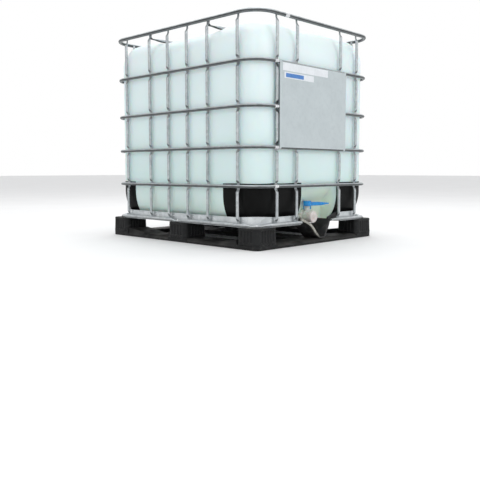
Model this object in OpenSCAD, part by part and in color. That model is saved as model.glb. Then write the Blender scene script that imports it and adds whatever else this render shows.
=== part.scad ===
// Intermediate bulk container: a blow-moulded bottle in a tubular steel cage,
// standing in a steel tray on a plastic pallet, with a butterfly valve at the
// bottom front. Origin at the centre of the pallet's underside, +Z up, the
// valve at -Y. Millimetres.

/* [Overall] */
// Pallet width, along the valve face
base_x = 1000; // [960:10:1040]
// Pallet length
base_y = 1200; // [1160:10:1240]
// Height of the top rim's upper side
total_h = 1160; // [1120:5:1200]

/* [Pallet] */
// Top of the feet, where the tray rests
feet_top = 108; // [100:1:115]
// Thickness of the bottom runners
runner_h = 24; // [18:1:28]
// Size of a foot across the pallet
foot_x = 155; // [140:1:165]
// Size of a foot along the pallet
foot_y = 143; // [135:1:150]
// Radius of a foot's upright corners
foot_r = 26; // [15:1:32]
// Length of a foot in the middle of a side
mid_foot = 152; // [140:1:160]
// Wall thickness of the hollow feet
foot_wall = 6; // [4:1:9]

/* [Cage] */
// Radius of a cage hoop's tube
hoop_r = 8.5; // [8:0.25:9]
// Radius of the top rim's tube
rim_r = 10; // [9.5:0.25:10]
// Radius of the base hoop's tube
base_hoop_r = 9; // [8.5:0.25:9]
// Wall thickness of the hoops' tube
tube_wall = 1.2; // [1:0.1:2]
// Radius of a hoop's corners, at the middle of its tube
hoop_corner = 115; // [110:1:120]
// Radius of an upright bar
bar_r = 8; // [7.5:0.25:8.75]
// Heights of the four hoops between the base hoop and the top rim
hoop_z = [310, 503, 702, 920];

/* [Bottle] */
// Wall thickness of the bottle
bottle_wall = 2.5; // [2:0.1:4]
// Height of the bottle's flat top
bottle_top = 1108; // [1095:1:1110]
// Radius of the bottle's upright corners
bottle_corner = 90; // [80:1:100]
// Height over which the shoulder curves in at the top
shoulder_rise = 115; // [90:1:130]
// Height over which the walls curve in at the bottom
bottom_rise = 160; // [120:1:180]
// Radius of the fill neck's bore
fill_bore_r = 70; // [65:1:72]

/* [Valve] */
// Height of the valve's axis
valve_z = 139; // [139:0.5:142]
// Radius of the valve's bore
valve_bore_r = 23; // [22:0.5:23]
// Distance from the stem's axis to the lever's tip
lever_len = 145; // [110:1:150]
// Angle of the closed lever forward of the valve face
lever_angle = 17; // [5:1:20]

/* [Hidden] */
$fn = 64;
hull_fn = 32;
curve_steps = 10;

half_x = base_x / 2;
half_y = base_y / 2;
fit = 0.1;            // gap between pieces that sit in one another and don't move
moving_gap = 0.3;     // gap between pieces that move past one another
shaft_gap = 0.05;     // radial gap of a turning shaft in its bore

// pallet
runner_edge = 12;     // height of a runner's outer edge
runner_slope = 24;    // width of the slope along that edge
ramp_start = 300;     // where the side runners begin to rise to the corner feet
ramp_top = 46;
foot_cx = half_x - foot_x / 2;
foot_cy = half_y - foot_y / 2;
screw_r = 3.9;
screw_hole_r = screw_r + fit;

// tray
sheet = 1.5;
tray_floor = feet_top + sheet;
tray_wall_top = 156;
tray_wall_x = half_x - 30.2;
tray_wall_y = half_y - 30.2;
tray_wall_r = 140;
tray_flange = 12;
notch_left = -150;
notch_right = 200;
notch_depth = half_y - 468;

// cage
hoop_x = half_x - 11;
hoop_y = half_y - 11;
base_hoop_z = tray_floor + base_hoop_r + 0.5;
rim_z = total_h - rim_r - 1;
bar_x = half_x - 14.5;
bar_y = half_y - 14.5;
bar_bottom = 112;
bar_top = total_h - 5;
dimple_h = 22;        // half the height of the flat pressed into a bar at a hoop
dimple_slope = 12;
side_bars = [-455, -238, -79, 79, 238, 455];
front_bars = [-340, -186, 186, 340];
rear_bars = [-340, -186, 0, 186, 340];
joint_x = -351;       // middle of the sleeves that close the hoops
rim_joint_x = -275;   // middle of the top rim's sleeve
joint_len = 28;
hoop_gap_left = -150;
hoop_gap_right = 105;
crossbar_y = 238;
crossbar_r = 9;
crossbar_z = 1122;
tab_t = 4;
tab_w = 24;
tab_x = bar_x - bar_r - tab_t - 0.2;
tab_screw_z = 1140;

// bottle
bottle_x = half_x - 31.5;
bottle_y = half_y - 31.5;
niche_left = -115;
niche_right = 175;
niche_back = half_y - 130;
niche_top = 225;
niche_mouth_top = 330;
neck_r = 28.5;
neck_bore_r = 25;
neck_end = niche_back + 18;
fill_neck_r = fill_bore_r + 7;
fill_neck_top = 1128;

// guards
guard_gap = 0.3;
guard_t = 1.5;
guard_top = 325;
guard_bottom = 125;

// label plate, in front of hoop 3 and hooked over hoops 2 and 4
plate_left = -335;
plate_right = 222;
plate_t = 1;
hook_w = 14;          // width of the plate's hooks
roll_in = hoop_r + 0.2;
roll_out = roll_in + plate_t;
plate_y = hoop_y + roll_out;
label_t = 0.3;

// valve
stem_y = half_y - 91;
stem_r = 4;
flange_y = neck_end + 2;
flange_t = 4;
flange_r = 31;
body_r = 27.4;
belly_r = 31;
nut_r = 38;
spout_r = 29.5;
spout_end = half_y - 50;
seat_r = 22.8;
seat_out_r = 25.5;
seat_half = 4;
disc_r = 22.4;
disc_half = 2.5;
boss_r = 11;
boss_top = 196;
hub_r = 22;
hub_top = 224;
cap_r = 32.5;
cap_front = half_y - 43;
cap_back = half_y - 72;
cap_inside = half_y - 46.9;

// ---------------------------------------------------------------- helpers

// Points of a rectangle with rounded corners
function rounded_rect(hx, hy, r, steps = 8) = [
    for (quadrant = [0:3], i = [0:steps])
        let (angle = quadrant * 90 + i * 90 / steps,
             sx = (quadrant == 0 || quadrant == 3) ? 1 : -1,
             sy = quadrant < 2 ? 1 : -1)
        [sx * (hx - r) + r * cos(angle), sy * (hy - r) + r * sin(angle)]
];

module slab(hx, hy, r, z0, z1) {
    translate([0, 0, z0]) linear_extrude(z1 - z0) polygon(rounded_rect(hx, hy, r));
}

// A box given by its lowest and highest corners
module block(low, high) {
    translate(low) cube(high - low);
}

// A cylinder along +Y, pointing to the front, from y = -near to y = -far
module front_cyl(r, near, far, z) {
    translate([0, -near, z]) rotate([90, 0, 0]) cylinder(r = r, h = far - near);
}

// A profile in Y and Z, drawn from x0 to x1
module side_profile(points, x0, x1) {
    translate([x0, 0, 0]) rotate([90, 0, 90]) linear_extrude(x1 - x0) polygon(points);
}

// A profile in X and Z, drawn from the front y = -far back to y = -near
module front_profile(points, near, far) {
    translate([0, -near, 0]) rotate([90, 0, 0]) linear_extrude(far - near) polygon(points);
}

// A round bar bent into a rectangular loop with rounded corners
module round_loop(r) {
    run_x = hoop_x - hoop_corner;
    run_y = hoop_y - hoop_corner;
    for (side = [-1, 1]) {
        translate([-run_x, side * hoop_y, 0]) rotate([0, 90, 0]) cylinder(r = r, h = 2 * run_x);
        translate([side * hoop_x, run_y, 0]) rotate([90, 0, 0]) cylinder(r = r, h = 2 * run_y);
    }
    for (corner = [[1, 1, 0], [-1, 1, 90], [-1, -1, 180], [1, -1, 270]])
        translate([corner[0] * run_x, corner[1] * run_y, 0]) rotate([0, 0, corner[2]])
            rotate_extrude(angle = 90) translate([hoop_corner, 0]) circle(r = r);
}

// A hoop of tube, cut open where its joint sleeve sits
module tube_hoop(r, z, joint = joint_x) {
    translate([0, 0, z]) difference() {
        round_loop(r);
        round_loop(r - tube_wall);
        block([joint - 1, -half_y - 5, -r - 1], [joint + 1, -hoop_y + r + 5, r + 1]);
    }
}

// ---------------------------------------------------------------- pallet

module runner_frame() color("#1d1e20") {
    window_x = foot_x / 2;
    difference() {
        union() {
            slab(half_x, half_y, foot_r, 0, runner_h);
            for (sx = [-1, 1], sy = [-1, 1])
                side_profile([[sy * ramp_start, runner_h], [sy * (half_y - foot_y), runner_h],
                              [sy * (half_y - foot_y), ramp_top]],
                             sx < 0 ? -half_x : half_x - foot_x,
                             sx < 0 ? foot_x - half_x : half_x);
        }
        for (side = [-1, 1])
            block([side < 0 ? foot_x - half_x : window_x, foot_y - half_y, -1],
                  [side < 0 ? -window_x : half_x - foot_x, half_y - foot_y, runner_h + 1]);
        // sloping outer edges between the feet
        for (side = [0, 180]) rotate([0, 0, side]) {
            front_edge = [[half_y, runner_edge], [half_y + 1, runner_edge], [half_y + 1, ramp_top + 9],
                          [half_y - runner_slope, ramp_top + 9], [half_y - runner_slope, runner_h]];
            side_profile(front_edge, foot_x - half_x, half_x - foot_x);
            side_edge = [[half_x, runner_edge], [half_x + 1, runner_edge], [half_x + 1, ramp_top + 9],
                         [half_x - runner_slope, ramp_top], [half_x - runner_slope, runner_h]];
            for (sy = [-1, 1])
                front_profile(side_edge, sy < 0 ? mid_foot / 2 : foot_y - half_y,
                              sy < 0 ? half_y - foot_y : -mid_foot / 2);
        }
    }
}

// A hollow moulded foot, open below, with an optional screw hole in its top
module foot(cx, cy, size_x, size_y, screw = []) color("#232427") {
    difference() {
        translate([cx, cy, 0]) slab(size_x / 2, size_y / 2, foot_r, runner_h, feet_top);
        translate([cx, cy, 0])
            slab(size_x / 2 - foot_wall, size_y / 2 - foot_wall, foot_r - foot_wall,
                 runner_h - 1, feet_top - foot_wall);
        for (place = screw)
            translate([place[0], place[1], feet_top - 2 * foot_wall])
                cylinder(r = screw_hole_r, h = 3 * foot_wall, $fn = 32);
    }
}

corner_screw_x = hoop_x - hoop_corner * (1 - cos(45));
corner_screw_y = hoop_y - hoop_corner * (1 - cos(45));

module corner_foot(sx, sy) {
    foot(sx * foot_cx, sy * foot_cy, foot_x, foot_y, [[sx * corner_screw_x, sy * corner_screw_y]]);
}
module foot_front_left() { corner_foot(-1, -1); }
module foot_front_right() { corner_foot(1, -1); }
module foot_rear_left() { corner_foot(-1, 1); }
module foot_rear_right() { corner_foot(1, 1); }
module foot_mid_left() { foot(-foot_cx, 0, foot_x, mid_foot, [[-hoop_x, 0]]); }
module foot_mid_right() { foot(foot_cx, 0, foot_x, mid_foot, [[hoop_x, 0]]); }
module foot_mid_rear() { foot(0, foot_cy, mid_foot, foot_y, [[0, hoop_y]]); }
module foot_centre() { foot(0, 0, mid_foot, mid_foot); }

// The trough that the valve hangs over, open at the front and the top: its left lip sweeps
// out to the base hoop's end, and a wing closes the gap up to the right guard
module valve_trough() color("#1b1c1e") {
    outer = [[2, runner_h], [-25, 50], [-48, 74], [-70, 94], [-99, 109], [-126, 119], [-149, 130],
             [-149, 143], [103, 128], [103, 124], [92, 89], [72, 51], [64, runner_h]];
    inner = [[14, runner_h + 8], [-15, 58], [-38, 82], [-60, 102], [-91, 120], [-120, 131], [-150, 144],
             [92, 144], [80, 93], [60, 57], [50, runner_h + 8]];
    wing = [[86, 106], [103, 104], [184, 126], [184, 160], [166, 158], [120, 141], [93, 134]];
    difference() {
        union() {
            front_profile(outer, half_y - 122, half_y - 10);
            front_profile(wing, half_y - 30, half_y - 24.5);
        }
        front_profile(inner, half_y - 114, half_y);
        block([-160, -half_y + 110, 98], [160, -half_y + 123, 145]);
        block([-160, -half_y + 60, 98], [niche_left + 3, -half_y + 123, 145]);
    }
}

// ---------------------------------------------------------------- tray

module screw_places() {
    for (sx = [-1, 1]) {
        for (sy = [-1, 1])
            translate([sx * corner_screw_x, sy * corner_screw_y, 0]) children();
        translate([sx * hoop_x, 0, 0]) children();
    }
    translate([0, hoop_y, 0]) children();
}

module base_tray() color("#b9bcbd") difference() {
    union() {
        slab(half_x - tray_flange, half_y - tray_flange, hoop_corner, feet_top, tray_floor);
        difference() {
            slab(tray_wall_x, tray_wall_y, tray_wall_r, feet_top, tray_wall_top);
            slab(tray_wall_x - sheet, tray_wall_y - sheet, tray_wall_r - sheet,
                 tray_floor, tray_wall_top + 1);
        }
    }
    block([notch_left, -half_y, feet_top - 1], [notch_right, notch_depth - half_y, tray_wall_top + 1]);
    screw_places() translate([0, 0, feet_top - 1]) cylinder(r = screw_hole_r, h = 4, $fn = 32);
}

// Small rivets on the tray wall, one beside each upright bar
module tray_rivets() color("#c6c8c8") {
    offset_along = 22;
    rivet_z = 140;
    for (side = [-1, 1], y = side_bars)
        translate([side * tray_wall_x, y - offset_along, rivet_z]) rotate([0, side * 90, 0])
            cylinder(r = 4, h = 3, $fn = 32);
    for (x = concat(front_bars, rear_bars))
        if (x + offset_along < notch_left || x + offset_along > notch_right)
            for (side = [-1, 1])
                translate([x + offset_along, side * tray_wall_y, rivet_z]) rotate([-side * 90, 0, 0])
                    cylinder(r = 4, h = 3, $fn = 32);
}

// ---------------------------------------------------------------- bottle

// A quarter of an ellipse beside an upright axis, from the angle start, ending at a height z
function corner_curve(z, wide, rise, start) =
    [for (i = [0:curve_steps]) let (a = start + 90 * i / curve_steps) [wide * cos(a), z + rise * sin(a)]];

// The bottle's rounded body, grown outward by some millimetres
module bottle_skin(grow) {
    cx = bottle_x - bottle_corner;
    cy = bottle_y - bottle_corner;
    wide = bottle_corner + grow;
    hull() for (sx = [-1, 1], sy = [-1, 1]) translate([sx * cx, sy * cy, 0])
        rotate_extrude($fn = hull_fn) polygon(concat(
            corner_curve(tray_floor + bottom_rise, wide, bottom_rise + grow, -90),
            corner_curve(bottle_top - shoulder_rise, wide, shoulder_rise + grow, 0)));
}

// The recess over the valve, grown by the wall for the inside
module niche(grow) {
    side_profile([[-half_y, tray_floor - 10], [-niche_back + grow, tray_floor - 10],
                  [-niche_back + grow, niche_top + grow], [-bottle_y, niche_mouth_top + grow],
                  [-half_y, niche_mouth_top + 40]],
                 niche_left - grow, niche_right + grow);
}

module bottle() color("#d4e6e4") difference() {
    union() {
        difference() {
            bottle_skin(0);
            niche(0);
        }
        front_cyl(neck_r, niche_back - 5, neck_end, valve_z);
        translate([0, 0, bottle_top - 3]) cylinder(r = fill_neck_r, h = fill_neck_top - bottle_top + 3);
    }
    difference() {
        bottle_skin(-bottle_wall);
        niche(bottle_wall);
    }
    front_cyl(neck_bore_r, niche_back - 20, neck_end + 1, valve_z);
    translate([0, 0, bottle_top - 30]) cylinder(r = fill_bore_r, h = 60);
}

// A black sheet between bottle and cage, bent round one upright corner:
// far along x to end_x and along y to end_y
module guard(sx, sy, end_x, end_y) color("#151617") intersection() {
    difference() {
        bottle_skin(guard_gap + guard_t);
        bottle_skin(guard_gap);
    }
    block([sx < 0 ? -half_x : end_x, sy < 0 ? -half_y : end_y, guard_bottom],
          [sx < 0 ? end_x : half_x, sy < 0 ? end_y : half_y, guard_top]);
}
module guard_front_left() { guard(-1, -1, -128, -336); }
module guard_front_right() { guard(1, -1, 184, -280); }
module guard_rear_left() { guard(-1, 1, -128, 406); }
module guard_rear_right() { guard(1, 1, 128, 336); }

// ---------------------------------------------------------------- cage

// Solid, since it is pressed flat where it is screwed down; open at the valve
module base_hoop() color("#c9cbcc") difference() {
    translate([0, 0, base_hoop_z]) round_loop(base_hoop_r);
    block([hoop_gap_left, -half_y, base_hoop_z - 20], [hoop_gap_right, -half_y + 40, base_hoop_z + 20]);
    screw_places() {
        translate([-20, -20, base_hoop_z + 4]) cube([40, 40, 10]);
        translate([0, 0, base_hoop_z - 20]) cylinder(r = screw_hole_r, h = 40, $fn = 32);
    }
}
module hoop_1() { color("#c9cbcc") tube_hoop(hoop_r, hoop_z[0]); }
module hoop_2() { color("#c9cbcc") tube_hoop(hoop_r, hoop_z[1]); }
module hoop_3() { color("#c9cbcc") tube_hoop(hoop_r, hoop_z[2]); }
module hoop_4() { color("#c9cbcc") tube_hoop(hoop_r, hoop_z[3]); }
module top_rim() { color("#cfd1d2") tube_hoop(rim_r, rim_z, rim_joint_x); }

// Cut off flat on the inside, where it would meet an upright bar
module joint_sleeve(r, z, joint = joint_x) {
    translate([joint - joint_len / 2, -hoop_y, z]) rotate([0, 90, 0]) difference() {
        cylinder(r = r + 1, h = joint_len);
        translate([0, 0, -1]) cylinder(r = r + fit, h = joint_len + 2);
        translate([-r - 2, r, -1]) cube([2 * r + 4, 3, joint_len + 2]);
    }
}

// Sleeves pressed over the butted ends of each hoop
module hoop_joints() color("#dcdedf") {
    for (z = hoop_z) joint_sleeve(hoop_r, z);
    joint_sleeve(rim_r, rim_z, rim_joint_x);
}

// An upright bar at the origin, its outer side at +X, pressed flat at every hoop
module bar(screw_hole = false) {
    flats = concat([[base_hoop_z, hoop_x - base_hoop_r], [rim_z + 4, hoop_x - rim_r]],
                   [for (z = hoop_z) [z, hoop_x - hoop_r]]);
    difference() {
        translate([0, 0, bar_bottom]) cylinder(r = bar_r, h = bar_top - bar_bottom);
        for (flat = flats) {
            face = flat[1] - bar_x - fit;
            outside = bar_r + 1;
            slope = dimple_h + dimple_slope;
            translate([0, 12, flat[0]]) rotate([90, 0, 0]) linear_extrude(24)
                polygon([[face, -dimple_h], [outside, -slope], [outside, slope], [face, dimple_h]]);
        }
        if (screw_hole)
            translate([-bar_r - 1, 0, tab_screw_z]) rotate([0, 90, 0])
                cylinder(r = screw_hole_r, h = 30, $fn = 32);
    }
}

module side_bar_set(side) color("#c4c7c8") {
    for (y = side_bars)
        translate([side * bar_x, y, 0]) rotate([0, 0, side > 0 ? 0 : 180])
            bar(abs(y) == crossbar_y);
}
module bars_left() { side_bar_set(-1); }
module bars_right() { side_bar_set(1); }

module bars_front() color("#c4c7c8") {
    for (x = front_bars) translate([x, -bar_y, 0]) rotate([0, 0, -90]) bar();
}
module bars_rear() color("#c4c7c8") {
    for (x = rear_bars) translate([x, bar_y, 0]) rotate([0, 0, 90]) bar();
}

// A tube across the top of the bottle with an upright tab at each end
module crossbar(y) color("#c9cbcc") translate([0, y, 0]) {
    translate([-tab_x, 0, crossbar_z]) rotate([0, 90, 0]) cylinder(r = crossbar_r, h = 2 * tab_x);
    for (side = [-1, 1]) difference() {
        block([side < 0 ? -tab_x - tab_t : tab_x, -tab_w / 2, crossbar_z - crossbar_r],
              [side < 0 ? -tab_x : tab_x + tab_t, tab_w / 2, rim_z]);
        translate([side * tab_x, 0, tab_screw_z]) rotate([0, 90, 0])
            cylinder(r = screw_hole_r, h = 20, center = true, $fn = 32);
    }
}
module crossbar_front() { crossbar(-crossbar_y); }
module crossbar_rear() { crossbar(crossbar_y); }

module crossbar_screws() color("#dcdedf") {
    shank = hoop_x - rim_r - tab_x - 1;
    for (side = [0, 180], y = [-crossbar_y, crossbar_y]) rotate([0, 0, side])
        translate([tab_x, y, tab_screw_z]) rotate([0, 90, 0]) {
            translate([0, 0, -4]) cylinder(r = 7, h = 4, $fn = 32);
            cylinder(r = screw_r, h = shank, $fn = 32);
        }
}

// Screws through the base hoop and the tray into the feet
module cage_screws() color("#dcdedf") {
    shank = base_hoop_z + 4 - feet_top + foot_wall + 8;
    screw_places() {
        translate([0, 0, base_hoop_z + 4]) cylinder(r = 7.5, h = 4, $fn = 32);
        translate([0, 0, base_hoop_z + 4 - shank]) cylinder(r = screw_r, h = shank, $fn = 32);
    }
}

// ---------------------------------------------------------------- labels

// A hook that holds the plate on a hoop, open towards the bars: up is 1 over a hoop, -1 under it
module plate_hook(x, z, up) {
    translate([x, -hoop_y, z]) rotate([0, 90, 0]) difference() {
        cylinder(r = roll_out, h = hook_w);
        translate([0, 0, -1]) cylinder(r = roll_in, h = hook_w + 2);
        translate([up > 0 ? 0 : -20, -20, -1]) cube([20, 40, hook_w + 2]);
        translate([-20, hoop_r, -1]) cube([40, 10, hook_w + 2]);
    }
}

module label_plate() color("#c6ccd1") {
    block([plate_left, -plate_y, hoop_z[1]], [plate_right, plate_t - plate_y, hoop_z[3]]);
    for (x = [plate_left, plate_right - hook_w]) {
        plate_hook(x, hoop_z[3], 1);
        plate_hook(x, hoop_z[1], -1);
    }
}

// A thin label on the plate's face, level deep
module label(x0, x1, z0, z1, level = 0) {
    front = plate_y + level * label_t;
    block([x0, -front - label_t, z0], [x1, -front, z1]);
}
module label_upper() { color("#f4f5f5") label(-313, 55, 879, 917); }
module label_lower() { color("#f4f5f5") label(-301, -66, 843, 873); }
module label_bar() { color("#2f6fb5") label(-290, -150, 848, 868, 1); }

// ---------------------------------------------------------------- fill opening

cap_under = fill_neck_top + 3.1;
cap_top = cap_under + 10;
fill_cap_r = fill_neck_r + 7;
vent_r = 20;

module ring_of_grips(r, count, grip_r, z0, z1) {
    for (i = [0:count - 1]) rotate([0, 0, i * 360 / count]) translate([r, 0, z0])
        cylinder(r = grip_r, h = z1 - z0, $fn = 16);
}

module fill_cap() color("#d9dcd8") difference() {
    union() {
        translate([0, 0, bottle_top + 4]) cylinder(r = fill_cap_r, h = cap_top - bottle_top - 4);
        ring_of_grips(fill_cap_r, 12, 4, bottle_top + 4, cap_top - 2);
    }
    translate([0, 0, bottle_top]) cylinder(r = fill_neck_r + 1, h = cap_under - bottle_top);
    cylinder(r = vent_r, h = total_h);
}
module fill_cap_seal() color("#2b2b2b") translate([0, 0, fill_neck_top + moving_gap]) difference() {
    cylinder(r = fill_neck_r - 0.5, h = 2.7);
    translate([0, 0, -1]) cylinder(r = fill_bore_r + 1, h = 5);
}
module vent_plug() color("#d9dcd8") {
    translate([0, 0, cap_under - 4]) cylinder(r = vent_r - shaft_gap, h = cap_top - cap_under + 7);
    difference() {
        translate([0, 0, cap_top + 2.1]) cylinder(r = 27, h = 7);
        translate([-20, -3, cap_top + 6]) cube([40, 6, 10]);
        translate([-3, -20, cap_top + 6]) cube([6, 40, 10]);
    }
}
module vent_plug_seal() color("#2b2b2b") translate([0, 0, cap_top + fit]) difference() {
    cylinder(r = 26, h = 1.9);
    translate([0, 0, -1]) cylinder(r = vent_r + 0.4, h = 4);
}

// ---------------------------------------------------------------- valve

module valve_nut() color("#e3e2dc") difference() {
    union() {
        front_cyl(nut_r - 2, neck_end - 14, flange_y + flange_t + 2, valve_z);
        translate([0, -neck_end, valve_z]) rotate([90, 0, 0])
            ring_of_grips(nut_r - 3, 12, 3, -12, 6);
    }
    front_cyl(neck_r + fit, neck_end - 20, flange_y, valve_z);
    front_cyl(flange_r + fit, flange_y, flange_y + flange_t, valve_z);
    front_cyl(body_r + fit, flange_y, flange_y + 20, valve_z);
}
module valve_gasket() color("#2b2b2b") difference() {
    front_cyl(neck_r - fit, neck_end, flange_y, valve_z);
    front_cyl(neck_bore_r, neck_end - 1, flange_y + 1, valve_z);
}

module stem_at(z) {
    translate([0, -stem_y, z]) children();
}

module valve_body() color("#e9e8e3") difference() {
    union() {
        front_cyl(flange_r, flange_y, flange_y + flange_t, valve_z);
        front_cyl(body_r, flange_y, spout_end, valve_z);
        front_cyl(belly_r, stem_y - 10, stem_y + 11, valve_z);
        front_cyl(spout_r, spout_end - 30, spout_end, valve_z);
        stem_at(valve_z) cylinder(r = boss_r, h = boss_top - valve_z);
    }
    front_cyl(valve_bore_r, flange_y - 1, spout_end + 1, valve_z);
    front_cyl(seat_out_r, stem_y - seat_half, stem_y + seat_half, valve_z);
    stem_at(valve_z) cylinder(r = stem_r + shaft_gap, h = boss_top - valve_z + 1);
    stem_at(180) cylinder(r = 7.4, h = 3.2);
}
module valve_seat() color("#3a3a3a") difference() {
    front_cyl(seat_out_r - fit, stem_y - seat_half + fit, stem_y + seat_half - fit, valve_z);
    front_cyl(seat_r, stem_y - 10, stem_y + 10, valve_z);
    stem_at(valve_z) cylinder(r = stem_r + 0.4, h = 40);
}
module stem_seal() color("#2b2b2b") stem_at(181.6) {
    rotate_extrude($fn = 48) translate([5.8, 0]) circle(r = 1.45, $fn = 24);
}
module valve_disc() color("#d8d7d2") difference() {
    front_cyl(disc_r, stem_y - disc_half, stem_y + disc_half, valve_z);
    stem_at(valve_z - 20) cylinder(r = 2 + fit, h = 60);
}
module valve_stem() color("#c9c9c6") {
    stem_at(valve_z - 18) cylinder(r = 2, h = 45, $fn = 32);
    difference() {
        stem_at(valve_z + disc_r + fit) cylinder(r = stem_r, h = hub_top - 1 - valve_z - disc_r - fit);
        stem_at(hub_top - 14) cylinder(r = 1.6, h = 20, $fn = 32);
    }
}
module valve_handle() color("#1d7fd0") stem_at(0) difference() {
    union() {
        translate([0, 0, boss_top + moving_gap]) cylinder(r = hub_r, h = hub_top - boss_top - moving_gap);
        // the lever, as [distance, half width, lowest, highest] from the hub to the tip
        rotate([0, 0, -lever_angle]) hull()
            for (at = [[0, 11, 196.5, 217], [90, 10, 197.5, 216], [lever_len - 1, 3, 203, 209]])
                block([at[0], -at[1], at[2]], [at[0] + 1, at[1], at[3]]);
        // stop tabs below the hub
        for (angle = [-50, 130]) rotate([0, 0, angle])
            translate([hub_r - 7, -5, 178]) cube([6.5, 10, 19]);
    }
    cylinder(r = stem_r + fit / 2, h = hub_top + 1);
}
module handle_screw() color("#dcdedf") stem_at(0) {
    translate([0, 0, hub_top]) cylinder(r = 6.5, h = 3.5, $fn = 32);
    translate([0, 0, hub_top - 10]) cylinder(r = 1.5, h = 11, $fn = 32);
}
module outlet_cap() color("#e6e3dd") difference() {
    union() {
        front_cyl(cap_r - 1, cap_back, cap_front, valve_z);
        translate([0, -cap_back, valve_z]) rotate([90, 0, 0])
            ring_of_grips(cap_r - 2, 18, 2, 0, cap_front - cap_back - 3);
    }
    front_cyl(spout_r + 0.8, cap_back - 1, cap_inside, valve_z);
}
module outlet_cap_seal() color("#2b2b2b") difference() {
    front_cyl(spout_r - 0.5, spout_end + moving_gap, cap_inside - fit, valve_z);
    front_cyl(valve_bore_r, spout_end - 1, cap_inside + 1, valve_z);
}

runner_frame();
foot_front_left();
foot_front_right();
foot_rear_left();
foot_rear_right();
foot_mid_left();
foot_mid_right();
foot_mid_rear();
foot_centre();
valve_trough();
base_tray();
tray_rivets();
bottle();
guard_front_left();
guard_front_right();
guard_rear_left();
guard_rear_right();
base_hoop();
hoop_1();
hoop_2();
hoop_3();
hoop_4();
top_rim();
hoop_joints();
bars_left();
bars_right();
bars_front();
bars_rear();
crossbar_front();
crossbar_rear();
crossbar_screws();
cage_screws();
label_plate();
label_upper();
label_lower();
label_bar();
fill_cap();
fill_cap_seal();
vent_plug();
vent_plug_seal();
valve_nut();
valve_gasket();
valve_body();
valve_seat();
valve_disc();
valve_stem();
stem_seal();
valve_handle();
handle_screw();
outlet_cap();
outlet_cap_seal();
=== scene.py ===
"""Looks for the intermediate bulk container: a polyethylene bottle in a galvanised tube cage on a black
pallet. Every length is in metres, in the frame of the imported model: +Z up, the valve at -Y."""
import math

import bmesh
import bpy
import numpy as np
from mathutils import Matrix, Vector, noise


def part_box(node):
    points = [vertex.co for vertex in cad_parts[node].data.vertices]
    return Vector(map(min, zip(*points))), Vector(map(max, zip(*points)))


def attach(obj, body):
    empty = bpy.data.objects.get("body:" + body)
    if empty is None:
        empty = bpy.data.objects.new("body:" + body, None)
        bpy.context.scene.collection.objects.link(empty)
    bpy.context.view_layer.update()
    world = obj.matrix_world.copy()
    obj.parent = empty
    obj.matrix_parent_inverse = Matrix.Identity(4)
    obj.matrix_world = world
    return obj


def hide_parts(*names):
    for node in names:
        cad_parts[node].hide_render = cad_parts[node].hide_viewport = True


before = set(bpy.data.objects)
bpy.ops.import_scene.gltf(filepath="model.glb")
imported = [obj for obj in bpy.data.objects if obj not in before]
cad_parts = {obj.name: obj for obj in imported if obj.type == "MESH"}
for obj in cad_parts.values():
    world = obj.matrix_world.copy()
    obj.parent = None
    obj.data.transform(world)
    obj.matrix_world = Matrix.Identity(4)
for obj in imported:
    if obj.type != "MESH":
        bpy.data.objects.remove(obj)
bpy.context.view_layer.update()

# ------------------------------------------------------------------ places taken from the frame

ROOT = "container"
LEVER = "valve_lever"
UP = Vector((0, 0, 1))
EAST = Vector((1, 0, 0))
NORTH = Vector((0, 1, 0))

runner_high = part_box("runner_frame")[1]
HALF_X, HALF_Y = runner_high.x, runner_high.y
FOOT_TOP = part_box("foot_centre")[1].z
RUNNER_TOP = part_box("foot_centre")[0].z
TRAY_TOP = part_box("base_tray")[1].z
SHEET = 0.0015  # thickness of the tray's steel
WALL_IN = 0.0302  # from the pallet's edge in to the tray's wall
TRAY_FLOOR = FOOT_TOP + SHEET
TRAY_WALL_X = HALF_X - WALL_IN
TRAY_WALL_Y = HALF_Y - WALL_IN
TRAY_WALL_CORNER = 0.140

HOOP_CORNER = 0.115
HOOP_NODES = ("hoop_1", "hoop_2", "hoop_3", "hoop_4")


def middle_z(node):
    """Height of the middle of a node."""
    low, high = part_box(node)
    return (low.z + high.z) / 2


HOOP_HEIGHTS = [middle_z(node) for node in HOOP_NODES]
HOOP_R = (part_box("hoop_1")[1].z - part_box("hoop_1")[0].z) / 2
HOOP_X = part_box("hoop_1")[1].x - HOOP_R
HOOP_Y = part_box("hoop_1")[1].y - HOOP_R
RIM_Z = middle_z("top_rim")
RIM_R = (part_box("top_rim")[1].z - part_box("top_rim")[0].z) / 2
BASE_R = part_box("base_hoop")[1].x - HOOP_X
BASE_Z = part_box("base_hoop")[0].z + BASE_R
BASE_GAP = (-0.150, 0.105)
PRESSED_R = 0.0042  # half the base hoop's height where it is pressed flat

BAR_R = 0.008
BAR_LOW, BAR_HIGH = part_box("bars_left")
BAR_X = -BAR_LOW.x - BAR_R
BAR_Y = -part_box("bars_front")[0].y - BAR_R
SIDE_BARS = (-0.455, -0.238, -0.079, 0.079, 0.238, 0.455)
FRONT_BARS = (-0.340, -0.186, 0.186, 0.340)
REAR_BARS = (-0.340, -0.186, 0.0, 0.186, 0.340)

bottle_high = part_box("bottle")[1]
BOTTLE_X, BOTTLE_Y = bottle_high.x, bottle_high.y
BOTTLE_CORNER = 0.090
SHOULDER_RISE = 0.115
BOTTOM_RISE = 0.160
BOTTLE_TOP = 1.104
NECK_TOP = bottle_high.z
NICHE_LEFT, NICHE_RIGHT = -0.115, 0.175
NICHE_DEPTH = 0.096
NICHE_TOP, NICHE_MOUTH = 0.225, 0.335

PLATE_LOW, PLATE_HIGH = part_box("label_plate")
STEM_Y = -0.509
STEM_HOLE_R = 0.00405  # radius of the holes round the valve's stem
VALVE_Z = middle_z("outlet_cap")


# ------------------------------------------------------------------ mesh helpers

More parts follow.
